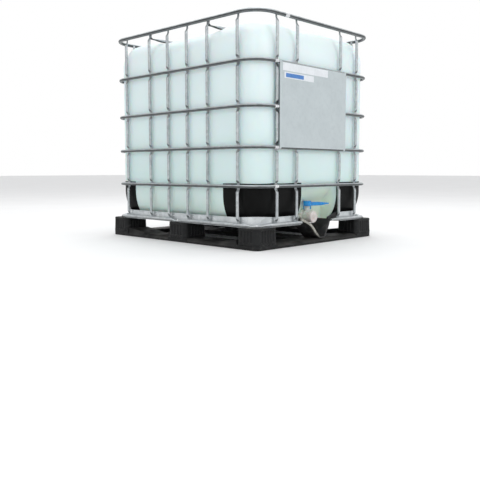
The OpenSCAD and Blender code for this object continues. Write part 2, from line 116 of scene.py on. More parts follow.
def new_object(name, verts, faces, material, sharp=40):
    """A mesh object with outward normals, shaded smooth up to an angle of sharp degrees."""
    mesh = bpy.data.meshes.new(name)
    mesh.from_pydata([tuple(v) for v in verts], [], [tuple(f) for f in faces])
    work = bmesh.new()
    work.from_mesh(mesh)
    bmesh.ops.remove_doubles(work, verts=work.verts, dist=1e-6)
    bmesh.ops.recalc_face_normals(work, faces=work.faces)
    work.to_mesh(mesh)
    work.free()
    mesh.materials.append(material)
    mesh.shade_smooth()
    mesh.set_sharp_from_angle(angle=math.radians(sharp))
    obj = bpy.data.objects.new(name, mesh)
    bpy.context.scene.collection.objects.link(obj)
    return obj


def place(obj, body, slot, *nodes):
    """Makes a piece ride on a body, and lets it stand for CAD nodes."""
    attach(obj, body)
    if nodes:
        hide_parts(*nodes)
    return obj


class Shape:
    """Vertices and faces gathered from several parts of one piece."""

    def __init__(self):
        self.verts, self.faces = [], []

    def add(self, verts, faces):
        start = len(self.verts)
        self.verts += [Vector(v) for v in verts]
        self.faces += [[start + i for i in face] for face in faces]

    def sweep(self, path, section, closed=False):
        """Carries a closed section along a path of (point, out, side) frames."""
        rings = [section(i) for i in range(len(path))]
        count = len(rings[0])
        verts = [point + out * a + side * b for (point, out, side), ring in zip(path, rings) for a, b in ring]
        faces = []
        for i in range(len(path) if closed else len(path) - 1):
            j = (i + 1) % len(path)
            for k in range(count):
                m = (k + 1) % count
                faces.append((i * count + k, i * count + m, j * count + m, j * count + k))
        if not closed:
            last = (len(path) - 1) * count
            faces.append(list(range(count)))
            faces.append([last + k for k in range(count)])
        self.add(verts, faces)

    def lathe(self, profile, centre, axis, turns=48, wobble=None):
        """Turns a profile of (radius, distance) points round an axis through centre."""
        axis = Vector(axis)
        side = axis.orthogonal().normalized()
        other = axis.cross(side)
        verts, rows = [], []
        for radius, distance in profile:
            row = []
            for i in range(turns if radius > 1e-7 else 1):
                angle = 2 * math.pi * i / turns
                r = radius * (wobble(angle, distance) if wobble else 1)
                row.append(len(verts))
                verts.append(Vector(centre) + axis * distance
                             + side * (r * math.cos(angle)) + other * (r * math.sin(angle)))
            rows.append(row)
        faces = []
        for near, far in zip(rows, rows[1:]):
            for i in range(turns):
                j = (i + 1) % turns
                if len(near) == 1 and len(far) > 1:
                    faces.append((near[0], far[i], far[j]))
                elif len(far) == 1 and len(near) > 1:
                    faces.append((near[i], far[0], near[j]))
                elif len(near) > 1:
                    faces.append((near[i], far[i], far[j], near[j]))
        self.add(verts, faces)

    def grid(self, rows, close_u=False):
        """Joins rows of points of equal length into quads."""
        count = len(rows[0])
        faces = []
        for i in range(len(rows) - 1):
            for k in range(count if close_u else count - 1):
                m = (k + 1) % count
                faces.append((i * count + k, i * count + m, (i + 1) * count + m, (i + 1) * count + k))
        self.add([p for row in rows for p in row], faces)

    def sheet(self, inner, outer):
        """A thin sheet between two layers of rows, closed round its four edges."""
        self.grid(inner)
        self.grid(outer)
        for k in (0, -1):
            self.grid([inner[k], outer[k]])
            self.grid([[row[k] for row in inner], [row[k] for row in outer]])

    def build(self, name, material, sharp=40):
        return new_object(name, self.verts, self.faces, material, sharp)


def smooth(value, low, high):
    """0 below low, 1 above high, and a smooth step between."""
    t = min(max((value - low) / (high - low), 0), 1)
    return t * t * (3 - 2 * t)


def mix(a, b, t):
    return a + (b - a) * t


def circle(r, count=20):
    angles = [2 * math.pi * i / count for i in range(count)]
    return [(r * math.cos(a), r * math.sin(a)) for a in angles]


def loop_path(half_x, half_y, corner, z, gap=None, step=0.02, turn=14):
    """Frames round a rectangle with rounded corners, from the middle of the front to the right.
    Each is (point, outward direction, up). gap leaves the loop open between two x at the front."""
    frames = []
    start, end = (gap[1], gap[0]) if gap else (0.0, 0.0)

    def straight(a, b, out, skip_last=True):
        length = (b - a).length
        pieces = max(1, round(length / step))
        for i in range(pieces + (0 if skip_last else 1)):
            frames.append((a.lerp(b, i / pieces), out, UP))

    sides = [((start, -half_y), (half_x - corner, -half_y), (0, -1)),
             ((half_x, corner - half_y), (half_x, half_y - corner), (1, 0)),
             ((half_x - corner, half_y), (corner - half_x, half_y), (0, 1)),
             ((-half_x, half_y - corner), (-half_x, corner - half_y), (-1, 0)),
             ((corner - half_x, -half_y), (end, -half_y), (0, -1))]
    centres = [(half_x - corner, corner - half_y), (half_x - corner, half_y - corner),
               (corner - half_x, half_y - corner), (corner - half_x, corner - half_y)]
    for k, (a, b, out) in enumerate(sides):
        last = k == len(sides) - 1
        straight(Vector((*a, z)), Vector((*b, z)), Vector((*out, 0)), skip_last=not (last and gap))
        if not last:
            first = -90 + 90 * k
            for i in range(turn):
                angle = math.radians(first + 90 * i / turn)
                out_now = Vector((math.cos(angle), math.sin(angle), 0))
                frames.append((Vector((*centres[k], z)) + out_now * corner, out_now, UP))
    return frames


def bevel(obj, width, segments=2, angle=35):
    """Rounds a piece's edges and keeps its shading clean."""
    modifier = obj.modifiers.new("edges", "BEVEL")
    modifier.width = width
    modifier.segments = segments
    modifier.limit_method = "ANGLE"
    modifier.angle_limit = math.radians(angle)
    modifier.harden_normals = True
    return obj


# ------------------------------------------------------------------ materials

class Finish:
    """A node material, built up from layers that read the piece's own coordinates."""

    def __init__(self, name, metallic=0.0, stretch=(1, 1, 1)):
        self.material = bpy.data.materials.new(name)
        self.material.use_nodes = True
        self.tree = self.material.node_tree
        self.shader = self.tree.nodes["Principled BSDF"]
        self.shader.inputs["Metallic"].default_value = metallic
        coordinates = self.tree.nodes.new("ShaderNodeTexCoord")
        mapping = self.tree.nodes.new("ShaderNodeMapping")
        mapping.inputs["Scale"].default_value = stretch
        self.link(coordinates.outputs["Object"], mapping.inputs["Vector"])
        self.vector = mapping.outputs["Vector"]
        self.plain = coordinates.outputs["Object"]
        self.colour_out = None
        self.normal_out = None

    def link(self, output, target):
        self.tree.links.new(output, target)

    def node(self, kind, **values):
        """A new node with some inputs set by name; _ stands for a space."""
        node = self.tree.nodes.new(kind)
        for name, value in values.items():
            node.inputs[name.replace("_", " ")].default_value = value
        return node

    def noise(self, scale, detail=4.0, roughness=0.55, distortion=0.0):
        node = self.node("ShaderNodeTexNoise", Scale=scale, Detail=detail, Roughness=roughness,
                         Distortion=distortion)
        self.link(self.vector, node.inputs["Vector"])
        return node.outputs["Fac"]

    def cells(self, scale):
        node = self.node("ShaderNodeTexVoronoi", Scale=scale)
        self.link(self.vector, node.inputs["Vector"])
        return node.outputs["Color"]

    def ramp(self, factor, *stops):
        """Colours along a factor: stops are (place, (r, g, b))."""
        node = self.tree.nodes.new("ShaderNodeValToRGB")
        elements = node.color_ramp.elements
        while len(elements) < len(stops):
            elements.new(0.5)
        for element, (where, colour) in zip(elements, stops):
            element.position = where
            element.color = (*colour, 1)
        self.link(factor, node.inputs["Fac"])
        return node.outputs["Color"]

    def scale(self, factor, low, high, from_low=0.3, from_high=0.7):
        node = self.node("ShaderNodeMapRange", From_Min=from_low, From_Max=from_high, To_Min=low,
                         To_Max=high)
        self.link(factor, node.inputs["Value"])
        return node.outputs["Result"]

    def blend(self, a, b, factor, mode="MIX"):
        node = self.tree.nodes.new("ShaderNodeMix")
        node.data_type = "RGBA"
        node.blend_type = mode
        for value, index in ((a, 6), (b, 7), (factor, 0)):
            if isinstance(value, (int, float)):
                node.inputs[index].default_value = value
            elif isinstance(value, tuple):
                node.inputs[index].default_value = (*value, 1)
            else:
                self.link(value, node.inputs[index])
        return node.outputs[2]

    def attribute(self, name):
        """A value that the mesh itself carries at its vertices."""
        node = self.node("ShaderNodeAttribute")
        node.attribute_name = name
        return node.outputs["Fac"]

    def facing(self, axis):
        """One coordinate of the direction that the surface faces."""
        geometry = self.tree.nodes.new("ShaderNodeNewGeometry")
        split = self.tree.nodes.new("ShaderNodeSeparateXYZ")
        self.link(geometry.outputs["Normal"], split.inputs["Vector"])
        return split.outputs[axis]

    def product(self, a, b):
        node = self.tree.nodes.new("ShaderNodeMath")
        node.operation = "MULTIPLY"
        self.link(a, node.inputs[0])
        self.link(b, node.inputs[1])
        return node.outputs["Value"]

    def height(self):
        """Height of the surface, in metres."""
        node = self.tree.nodes.new("ShaderNodeSeparateXYZ")
        self.link(self.plain, node.inputs["Vector"])
        return node.outputs["Z"]

    def colour(self, output):
        self.colour_out = output
        self.link(output, self.shader.inputs["Base Color"])
        return self

    def rough(self, low, high, scale=30.0):
        self.link(self.scale(self.noise(scale), low, high), self.shader.inputs["Roughness"])
        return self

    def bump(self, factor, strength, distance=0.001):
        node = self.node("ShaderNodeBump", Strength=strength, Distance=distance)
        self.link(factor, node.inputs["Height"])
        if self.normal_out:
            self.link(self.normal_out, node.inputs["Normal"])
        self.normal_out = node.outputs["Normal"]
        self.link(self.normal_out, self.shader.inputs["Normal"])
        return self

    def set(self, **values):
        for name, value in values.items():
            self.shader.inputs[name.replace("_", " ")].default_value = value
        return self


def bottle_finish():
    """Milky natural polyethylene, with painted shade making it darker and greener towards the bottom and
    painted light brightening the recess over the valve.
    """
    f = Finish("natural_hdpe")
    cloud = f.noise(2.2, 2.0)
    # painted shade: the wall is darker and greener low down and lighter towards the top
    painted_light_and_shade_tint = f.ramp(f.scale(f.height(), 0, 1, 0.1, 1.1),
                  (0.0, (0.63, 0.75, 0.69)), (0.25, (0.67, 0.82, 0.81)), (0.6, (0.74, 0.865, 0.875)),
                  (1.0, (0.80, 0.905, 0.915)))
    mottle = f.ramp(cloud, (0.35, (0.95, 0.96, 0.96)), (0.65, (1.0, 1.0, 1.0)))
    # painted light: the recess over the valve, which lies in shade, is brightened
    painted_light_and_shade_tint = f.blend(painted_light_and_shade_tint, (0.83, 0.95, 0.80), f.attribute("recess"))
    f.colour(f.blend(painted_light_and_shade_tint, mottle, 1.0, "MULTIPLY"))
    f.rough(0.33, 0.48, 6.0)
    f.bump(f.noise(5.0, 2.0), 0.25, 0.006)
    f.bump(f.noise(260.0, 2.0), 0.06, 0.0006)
    f.set(IOR=1.5, Subsurface_Weight=0.25, Subsurface_Scale=0.02, Coat_Weight=0.05, Coat_Roughness=0.3)
    return f.material


def zinc_finish(name, dark, light, rough, spangle=55.0, metallic=0.85, shade=None,
                marks=1.0):
    """Hot-dip galvanised steel: faint spangle, a dull bloom and fine pits. shade gives painted shade: how
    much darker the colour is made on faces that look down, sideways and up, as light falls on them; marks is
    how strong bloom and streaks are."""
    f = Finish(name, metallic)
    flakes = f.ramp(f.cells(spangle), (0.1, dark), (0.9, light))
    bloom = f.ramp(f.noise(7.0, 5.0), (0.35, (0.88, 0.89, 0.90)), (0.62, (1, 1, 1)))
    streak = f.ramp(f.noise(40.0, 3.0, 0.6, 0.6), (0.36, (0.84, 0.85, 0.86)), (0.52, (1, 1, 1)))
    colour = f.blend(f.blend(flakes, bloom, marks, "MULTIPLY"), streak, 0.7 * marks, "MULTIPLY")
    if shade:
        # painted shade: faces that look down and sideways are darkened, and faces that look up are kept light
        down, level, up = shade
        painted_facing_shade = f.ramp(f.scale(f.facing("Z"), 0, 1, -1, 1), (0.12, (down, down, down)),
                         (0.36, (level, level, level)), (0.51, (level, level, level)), (0.68, (up, up, up)))
        colour = f.blend(colour, painted_facing_shade, 1.0, "MULTIPLY")
    f.colour(colour)
    f.rough(rough[0], rough[1], 24.0)
    f.bump(f.noise(320.0, 3.0), 0.10, 0.0004)
    f.bump(f.noise(40.0, 2.0), 0.06, 0.001)
    return f.material


def black_finish(name, base, scuff, amount=0.6, rough=(0.42, 0.68), grain=420.0, dust=None, gloss=0.22):
    """Black moulded plastic with grey scuffs, and dust on what faces up if asked."""
    f = Finish(name)
    dark, light = (tuple(level * c for c in base) for level in (0.75, 1.35))
    body = f.ramp(f.noise(14.0, 4.0), (0.3, dark), (0.7, light))
    marks = f.scale(f.noise(22.0, 8.0, 0.72, 1.2), 0.0, amount, 0.56, 0.74)
    colour = f.blend(body, scuff, marks)
    if dust:
        patch = f.scale(f.noise(7.0, 6.0, 0.65), 0.0, 0.75, 0.38, 0.66)
        level = f.scale(f.facing("Z"), 0.0, 1.0, 0.35, 0.95)
        colour = f.blend(colour, dust, f.product(patch, level))
    f.colour(colour)
    f.rough(*rough, 18.0)
    f.bump(f.noise(grain, 2.0), 0.18, 0.0005)
    f.bump(f.noise(30.0, 6.0, 0.7), 0.12, 0.0015)
    f.set(Specular_IOR_Level=gloss)
    return f.material


def trough_finish():
    """The trough's black plastic, worn pale along its lip, with a painted highlight along that lip."""
    f = Finish("trough_worn_and_highlit")
    body = f.ramp(f.noise(16.0, 5.0), (0.3, (0.012, 0.012, 0.013)), (0.7, (0.04, 0.04, 0.042)))
    # the pale lip is partly real wear and partly a painted highlight along the edge
    worn_highlit_lip_mask = f.product(f.attribute("worn_highlit_lip"), f.scale(f.noise(60.0, 6.0, 0.7), 0.35, 1.0, 0.35, 0.6))
    marks = f.scale(f.noise(18.0, 8.0, 0.75, 1.5), 0.0, 0.6, 0.52, 0.7)
    scuffed = f.blend(body, (0.14, 0.135, 0.125), marks)
    f.colour(f.blend(scuffed, (0.46, 0.45, 0.40), worn_highlit_lip_mask))
    f.rough(0.45, 0.7, 20.0)
    f.bump(f.noise(380.0, 2.0), 0.2, 0.0005)
    f.bump(f.noise(40.0, 6.0, 0.7), 0.2, 0.001)
    f.set(Specular_IOR_Level=0.25)
    return f.material


def moulded_finish(name, dark, light, rough=(0.3, 0.45), grime=None, subsurface=0.0):
    """Coloured moulded plastic with faint flow marks and, if asked, grime in patches."""
    f = Finish(name)
    colour = f.ramp(f.noise(40.0, 4.0), (0.3, dark), (0.7, light))
    if grime:
        colour = f.blend(colour, grime, f.scale(f.noise(55.0, 7.0, 0.7, 0.8), 0.0, 0.55, 0.5, 0.72))
    f.colour(colour)
    f.rough(*rough, 60.0)
    f.bump(f.noise(700.0, 2.0), 0.1, 0.0003)
    f.bump(f.noise(90.0, 3.0), 0.08, 0.0006)
    f.set(Subsurface_Weight=subsurface, Subsurface_Scale=0.004)
    return f.material


def film_finish(name, dark, light):
    """Printed film, flat in colour but for slight soiling and creases."""
    f = Finish(name)
    f.colour(f.ramp(f.noise(26.0, 6.0, 0.65), (0.35, dark), (0.6, light)))
    f.rough(0.32, 0.5, 50.0)
    f.bump(f.noise(34.0, 3.0, 0.5, 0.6), 0.15, 0.0008)
    return f.material


hdpe = bottle_finish()
# hoop_zinc, base_zinc and bar_zinc are lit and shaded copies of one galvanised steel: the darker hoops, the
# brighter base hoop and their shade tuples are painted shade and painted light
hoop_zinc = zinc_finish("galvanised_hoop", (0.44, 0.47, 0.48), (0.54, 0.57, 0.58), (0.34, 0.48),
                        shade=(0.42, 0.17, 1.0))
base_zinc = zinc_finish("galvanised_base_hoop", (0.56, 0.59, 0.60), (0.70, 0.73, 0.74), (0.32, 0.46),
                        shade=(0.30, 0.70, 1.0))
bar_zinc = zinc_finish("galvanised_bar", (0.46, 0.49, 0.50), (0.59, 0.62, 0.63), (0.32, 0.46),
                       shade=(0.10, 1.0, 1.0))
sheet_zinc = zinc_finish("galvanised_sheet", (0.62, 0.65, 0.66), (0.78, 0.81, 0.82), (0.34, 0.5), 34.0)
plate_zinc = zinc_finish("plate_steel", (0.52, 0.575, 0.59), (0.535, 0.59, 0.605), (0.5, 0.6), 20.0, 0.25,
                         marks=0.45)
bright_zinc = zinc_finish("bright_zinc", (0.74, 0.75, 0.76), (0.88, 0.89, 0.90), (0.20, 0.34), 120.0, 0.9)
pallet_black = black_finish("pallet_plastic", (0.010, 0.0105, 0.011), (0.075, 0.075, 0.072), 0.5,
                            dust=(0.085, 0.082, 0.076))
guard_black = black_finish("guard_sheet", (0.0032, 0.0034, 0.0034), (0.02, 0.02, 0.02), 0.2, (0.36, 0.52),
                           160.0,
                           gloss=0.09)
trough_black = trough_finish()
valve_white = moulded_finish("valve_plastic", (0.62, 0.61, 0.58), (0.76, 0.75, 0.73), (0.35, 0.5),
                             (0.40, 0.36, 0.32), 0.1)
cap_pink = moulded_finish("outlet_cap_plastic", (0.64, 0.58, 0.56), (0.78, 0.73, 0.71), (0.4, 0.55),
                          (0.36, 0.30, 0.27), 0.1)
lid_white = moulded_finish("cap_plastic", (0.54, 0.58, 0.56), (0.66, 0.70, 0.68), (0.4, 0.55),
                           (0.36, 0.38, 0.36), 0.1)
handle_blue = moulded_finish("handle_blue", (0.003, 0.19, 0.55), (0.006, 0.29, 0.72), (0.22, 0.36))
rubber = black_finish("seal_rubber", (0.02, 0.02, 0.02), (0.07, 0.07, 0.07), 0.3, (0.6, 0.8))
film_white = film_finish("label_white", (0.68, 0.71, 0.74), (0.76, 0.79, 0.82))
film_blue = film_finish("label_blue", (0.05, 0.17, 0.46), (0.08, 0.23, 0.56))


# ------------------------------------------------------------------ bottle

def outline(half_x, half_y, corner, fronts, sides):
    """Points round a rounded rectangle, with places along the sides given as fractions."""
    turn = 14
    corner = max(min(corner, half_x, half_y), 0.0)
    run_x, run_y = half_x - corner, half_y - corner
    points = [(mix(-run_x, run_x, t), -half_y) for t in fronts[:-1]]
    points += arc(run_x, -run_y, corner, -90, turn)
    points += [(half_x, mix(-run_y, run_y, t)) for t in sides[:-1]]
    points += arc(run_x, run_y, corner, 0, turn)
    points += [(mix(run_x, -run_x, t), half_y) for t in sides[:-1]]
    points += arc(-run_x, run_y, corner, 90, turn)
    points += [(-half_x, mix(run_y, -run_y, t)) for t in sides[:-1]]
    points += arc(-run_x, -run_y, corner, 180, turn)
    return points


def arc(cx, cy, r, start, turn):
    angles = [math.radians(start + 90 * i / turn) for i in range(turn)]
    return [(cx + r * math.cos(a), cy + r * math.sin(a)) for a in angles]


def corner_at(inset):
    """Radius of the bottle's corner where its outline has drawn in by inset; it stays soft at the ends."""
    return BOTTLE_CORNER - 0.5 * min(inset, 0.09)


def bottom_inset(z):
    """How far the bottle's wall has drawn in at a height near the tray."""
    rise = min(max(TRAY_FLOOR + BOTTOM_RISE - z, 0.0), BOTTOM_RISE) / BOTTOM_RISE
    return BOTTLE_CORNER * (1 - math.sqrt(1 - rise ** 2))


def bottle_rows():
    """The bottle's profile from the middle of its bottom to the middle of its top, as (inset, z, lift)."""
    low, high = TRAY_FLOOR, BOTTLE_TOP
    rows = [(inset, low, 0.0) for inset in (0.44, 0.36, 0.26, 0.17, 0.115)]
    for i in range(19):
        z = low + BOTTOM_RISE * (1 - math.cos(math.radians(90 * i / 18)))
        rows.append((bottom_inset(z), z, 0.0))
    wall_low, wall_high = low + BOTTOM_RISE, high - SHOULDER_RISE
    pieces = 84
    rows += [(0.0, mix(wall_low, wall_high, i / pieces), 0.0) for i in range(1, pieces)]
    for i in range(19):
        angle = math.radians(90 * i / 18)
        rows.append((BOTTLE_CORNER * (1 - math.cos(angle)), high - SHOULDER_RISE * (1 - math.sin(angle)),
                     math.sin(angle) ** 1.5))
    rows += [(inset, high, 1.0) for inset in np.arange(0.098, 0.39, 0.008)]
    rows += [(inset, high, 1.0) for inset in np.arange(0.39, 0.466, 0.003)]
    rows.append((BOTTLE_X, high, 1.0))
    return rows


def top_relief(x, y):
    """How far the bottle's top rises above its lowest field: four raised pads and a low collar."""
    dip = 0.42 * smooth(x, -0.20, -0.11) * (1 - smooth(x, -0.11, 0.17))
    across = 0.62 + 0.38 * smooth(x, -0.46, -0.20) - dip
    along = smooth(abs(y), 0.215, 0.315)
    collar = 1 - smooth(math.hypot(x, y), 0.088, 0.115)
    rib = 0.003 * (1 - along) * max(0, math.cos(y / 0.060 * math.pi)) * smooth(abs(x), 0.16, 0.2)
    return 0.024 * across * along + 0.004 * collar + rib


def niche_depth(x, z):
    """How far the recess over the valve goes in from the front."""
    past_left = smooth(x, NICHE_LEFT - 0.012, NICHE_LEFT + 0.014)
    past_right = smooth(x, NICHE_RIGHT - 0.014, NICHE_RIGHT + 0.012)
    across = past_left * (1 - past_right)
    upward = 1 - smooth(z, NICHE_TOP - 0.03, NICHE_MOUTH)
    return NICHE_DEPTH * across * upward


def wall_relief(x, y, z):
    """Slight swelling of the bottle's walls between the hoops, and slow unevenness."""
    span = HOOP_HEIGHTS + [RIM_Z]
    swell = 0.0
    for low, high in zip(span, span[1:]):
        if low < z < high:
            swell = math.sin(math.pi * (z - low) / (high - low)) ** 2
    uneven = noise.noise(Vector((x * 3.1, y * 3.1, z * 4.3)))
    return 0.0010 * swell + 0.0008 * uneven * smooth(z, 0.3, 0.4)


def bottle_point(x, y, z, inset, grow=0.0):
    """A point of the bottle's outside, pushed outward by grow."""
    centre_x = max(min(x, BOTTLE_X - BOTTLE_CORNER), BOTTLE_CORNER - BOTTLE_X)
    centre_y = max(min(y, BOTTLE_Y - BOTTLE_CORNER), BOTTLE_CORNER - BOTTLE_Y)
    outward = Vector((x - centre_x, y - centre_y, 0))
    if outward.length < 1e-9:
        return Vector((x, y, z))
    outward.normalize()
    wall = 1 - smooth(inset, 0.0, 0.05)
    push = grow + wall * wall_relief(x, y, z)
    return Vector((x, y, z)) + outward * push


def side_places():
    """Fractions along the front for the outline, closer together at the recess's edges."""
    run = BOTTLE_X - BOTTLE_CORNER
    fine = [NICHE_LEFT + d for d in np.arange(-0.018, 0.0205, 0.003)]
    fine += [NICHE_RIGHT + d for d in np.arange(-0.020, 0.0185, 0.003)]
    coarse = [x for x in np.linspace(-run, run, 70)
              if min(abs(x - NICHE_LEFT), abs(x - NICHE_RIGHT)) > 0.021]
    return [(x + run) / (2 * run) for x in sorted(fine + coarse)]


def make_bottle():
    shape = Shape()
    fronts = side_places()
    sides = [i / 90 for i in range(91)]
    rows = []
    for inset, z, lift in bottle_rows():
        ring = []
        for x, y in outline(BOTTLE_X - inset, BOTTLE_Y - inset, corner_at(inset), fronts, sides):
            p = bottle_point(x, y, z, inset)
            p.z += lift * top_relief(p.x, p.y)
            depth = niche_depth(p.x, p.z)
            if p.y < 0 and depth > 1e-5:
                p.y = max(p.y, depth - BOTTLE_Y)
            ring.append(p)
        rows.append(ring)
    shape.grid(rows, close_u=True)
    shape.faces.append(list(range(len(rows[0]))))
    # the fill hole, its edge hidden under the neck's wall
    hole_r = 0.0745
    shape.faces = [face for face in shape.faces
                   if any(shape.verts[i].xy.length > hole_r or shape.verts[i].z < 1.0 for i in face)]
    neck_ridges = [(0.0770 if i % 2 else 0.0745, BOTTLE_TOP + 0.008 + 0.0028 * i) for i in range(7)]
    shape.lathe([(0.0700, BOTTLE_TOP - 0.006), (0.0765, BOTTLE_TOP - 0.006), (0.0765, BOTTLE_TOP + 0.006)]
                + neck_ridges + [(0.0745, NECK_TOP), (0.0700, NECK_TOP), (0.0700, BOTTLE_TOP - 0.006)],
                (0, 0, 0), UP, 64)
    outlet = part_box("valve_gasket")[1].y
    shape.lathe([(0.0250, 0.0), (0.0285, 0.0), (0.0285, 0.024), (0.0250, 0.024), (0.0250, 0.0)],
                (0, outlet + 0.024, VALVE_Z), -NORTH, 48)
    obj = shape.build("bottle_shell", hdpe, 55)
    # the recess attribute is the mask of the painted light that brightens the recess over the valve
    layer = obj.data.attributes.new("recess", "FLOAT", "POINT")
    for i, vertex in enumerate(obj.data.vertices):
        p = vertex.co
        layer.data[i].value = smooth(niche_depth(p.x, p.z), 0.002, 0.05) if p.y < 0 else 0.0
    return place(obj, ROOT, "natural_hdpe", "bottle")


def make_guard(node, sign_x, sign_y):
    """A black sheet that follows one upright corner of the bottle, from the tray to its upper edge."""
    low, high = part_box(node)
    end_x = high.x if sign_x < 0 else low.x
    end_y = high.y if sign_y < 0 else low.y
    top = high.z
    heights = [low.z + (top - low.z) * i / 34 for i in range(35)]
    turn = [math.radians(90 * i / 14) for i in range(15)]
    thickness = 0.0012
    layers = []
    for layer in (0.0004, 0.0004 + thickness):
        rows = []
        for z in heights:
            inset = bottom_inset(z)
            half_x, half_y, r = BOTTLE_X - inset, BOTTLE_Y - inset, corner_at(inset)
            corner = (sign_x * (half_x - r), sign_y * (half_y - r))
            row = [(mix(end_x, corner[0], i / 24), sign_y * half_y) for i in range(24)]
            row += [(corner[0] + sign_x * r * math.sin(a), corner[1] + sign_y * r * math.cos(a))
                    for a in turn]
            row += [(sign_x * half_x, mix(corner[1], end_y, i / 24)) for i in range(1, 25)]
            grown = []
            for x, y in row:
                wave = 0.0006 * noise.noise(Vector((x * 16, y * 16, z * 6))) * smooth(z, 0.24, top)
                p = bottle_point(x, y, z, inset, layer + max(0.0, wave))
                droop = 0.004 * noise.noise(Vector((x * 5, y * 5, 0.3))) * smooth(z, top - 0.05, top)
                p.z -= abs(droop)
                grown.append(p)
            rows.append(grown)
        layers.append(rows)
    shape = Shape()
    shape.sheet(*layers)
    return place(shape.build(node + "_sheet", guard_black, 50), ROOT, "guard_sheet", node)


# ------------------------------------------------------------------ cage

def make_hoop(node, r, z):
    """A closed hoop, lightly pressed where each bar crosses it."""
    path = loop_path(HOOP_X, HOOP_Y, HOOP_CORNER, z)
    shape = Shape()
    ring = circle(r, 20)

    def section(i):
        point, out, _ = path[i]
        lateral = point.x if abs(out.y) > 0.99 else point.y
        places = SIDE_BARS if abs(out.x) > 0.99 else (FRONT_BARS if out.y < 0 else REAR_BARS)
        near = min(abs(lateral - p) for p in places)
        press = 1 - smooth(near, 0.006, 0.026)
        return [(a if a < 0 else a * (1 - 0.12 * press), b * (1 + 0.05 * press)) for a, b in ring]

    shape.sweep(path, section, closed=True)
    return place(shape.build(node + "_tube", hoop_zinc, 60), ROOT, "galvanised_tube", node)


def make_base_hoop():
    """The lowest hoop: pressed flat where it is screwed down, its two ends flattened at the valve."""
    path = loop_path(HOOP_X, HOOP_Y, HOOP_CORNER, BASE_Z, BASE_GAP, 0.012, 18)
    screws = screw_places()
    ring = circle(BASE_R, 24)
    shape = Shape()

    def section(i):
        point = path[i][0]
        near = min((point.xy - s.xy).length for s in screws)
        flat = 1 - smooth(near, 0.020, 0.055)
        end_left = 1 - smooth(abs(point.x - BASE_GAP[0]), 0.0, 0.05)
        end_right = 1 - smooth(abs(point.x - BASE_GAP[1]), 0.0, 0.06)
        end = max(0.3 * end_left, end_right) if point.y < 0.02 - HOOP_Y else 0.0
        press = max(flat, 0.8 * end)
        tall, wide = mix(BASE_R, PRESSED_R, press), mix(BASE_R, 0.0098, press)
        drop = mix(0.0, -(BASE_R - tall), flat)
        return [(a / BASE_R * wide, b / BASE_R * tall + drop) for a, b in ring]

    shape.sweep(path, section)
    return place(shape.build("base_hoop_tube", base_zinc, 60), ROOT, "galvanised_tube", "base_hoop")


def bar_limit(z):
    """How far out a bar's outer side may stand at a height: pressed flat at every hoop."""
    limit = BAR_R
    flats = [(BASE_Z, HOOP_X - BASE_R - BAR_X)] + [(h, HOOP_X - HOOP_R - BAR_X) for h in HOOP_HEIGHTS]
    for height, face in flats:
        limit = min(limit, mix(face - 0.0002, BAR_R, smooth(abs(z - height), 0.013, 0.036)))
    under_rim = smooth(z, RIM_Z - 0.045, RIM_Z - 0.016)
    return min(limit, mix(BAR_R, HOOP_X - RIM_R - BAR_X - 0.0002, under_rim))


def bar_heights():
    heights = {round(BAR_LOW.z, 4), round(BAR_HIGH.z, 4)}
    for h in [BASE_Z] + HOOP_HEIGHTS:
        heights |= {round(h + d, 4) for d in np.linspace(-0.040, 0.040, 19) if BAR_LOW.z < h + d < BAR_HIGH.z}
        heights.add(round(h + 0.1, 4))
    heights |= {round(RIM_Z + d, 4) for d in np.linspace(-0.050, 0.0, 11)}
    return sorted(h for h in heights if BAR_LOW.z <= h <= BAR_HIGH.z)


def add_bar(shape, x, y, out):
    heights = bar_heights()
    side = UP.cross(out)
    path = [(Vector((x, y, z)), out, side) for z in heights]
    ring = circle(BAR_R, 22)

    def section(i):
        z = heights[i]
        limit = bar_limit(z)
        pressed = (BAR_R - limit) / BAR_R
        spread = 1 + 0.16 * pressed - 0.42 * smooth(z, RIM_Z - 0.040, RIM_Z - 0.012)
        return [(min(a, limit - 0.0006 * (b / BAR_R) ** 2 * pressed), b * spread) for a, b in ring]

    shape.sweep(path, section)


def make_bars():
    groups = {"bars_left": [(-BAR_X, y, -EAST) for y in SIDE_BARS],
              "bars_right": [(BAR_X, y, EAST) for y in SIDE_BARS],
              "bars_front": [(x, -BAR_Y, -NORTH) for x in FRONT_BARS],
              "bars_rear": [(x, BAR_Y, NORTH) for x in REAR_BARS]}
    for node, places in groups.items():
        shape = Shape()
        for x, y, out in places:
            add_bar(shape, x, y, out)
        place(shape.build(node + "_tubes", bar_zinc, 30), ROOT, "galvanised_tube", node)


def make_joints():
    """Sleeves over the hoops' butted ends, each crimped in two places and flat towards the bars."""
    low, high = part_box("hoop_joints")
    half = 0.014
    shape = Shape()
    sleeves = [(low.x + half, h, HOOP_R) for h in HOOP_HEIGHTS] + [(high.x - half, RIM_Z, RIM_R)]
    for x, z, r in sleeves:
        outer = r + 0.001
        profile = [(r + 0.0001, -half), (outer - 0.0003, -half), (outer, -half + 0.001)]
        for i in range(1, 24):
            t = i / 24
            crimp = sum(math.exp(-((t - c) / 0.05) ** 2) for c in (0.28, 0.72))
            profile.append((outer - 0.0007 * crimp, mix(-half + 0.001, half - 0.001, t)))
        profile += [(outer, half - 0.001), (outer - 0.0003, half), (r + 0.0001, half), (r + 0.0001, -half)]
        start = len(shape.verts)
        shape.lathe(profile, (x, -HOOP_Y, z), EAST, 40)
        inner_face = r + 0.00015 - HOOP_Y
        for vert in shape.verts[start:]:
            vert.y = min(vert.y, inner_face)
    return place(shape.build("hoop_joint_sleeves", bright_zinc, 50), ROOT, "zinc_fastener", "hoop_joints")


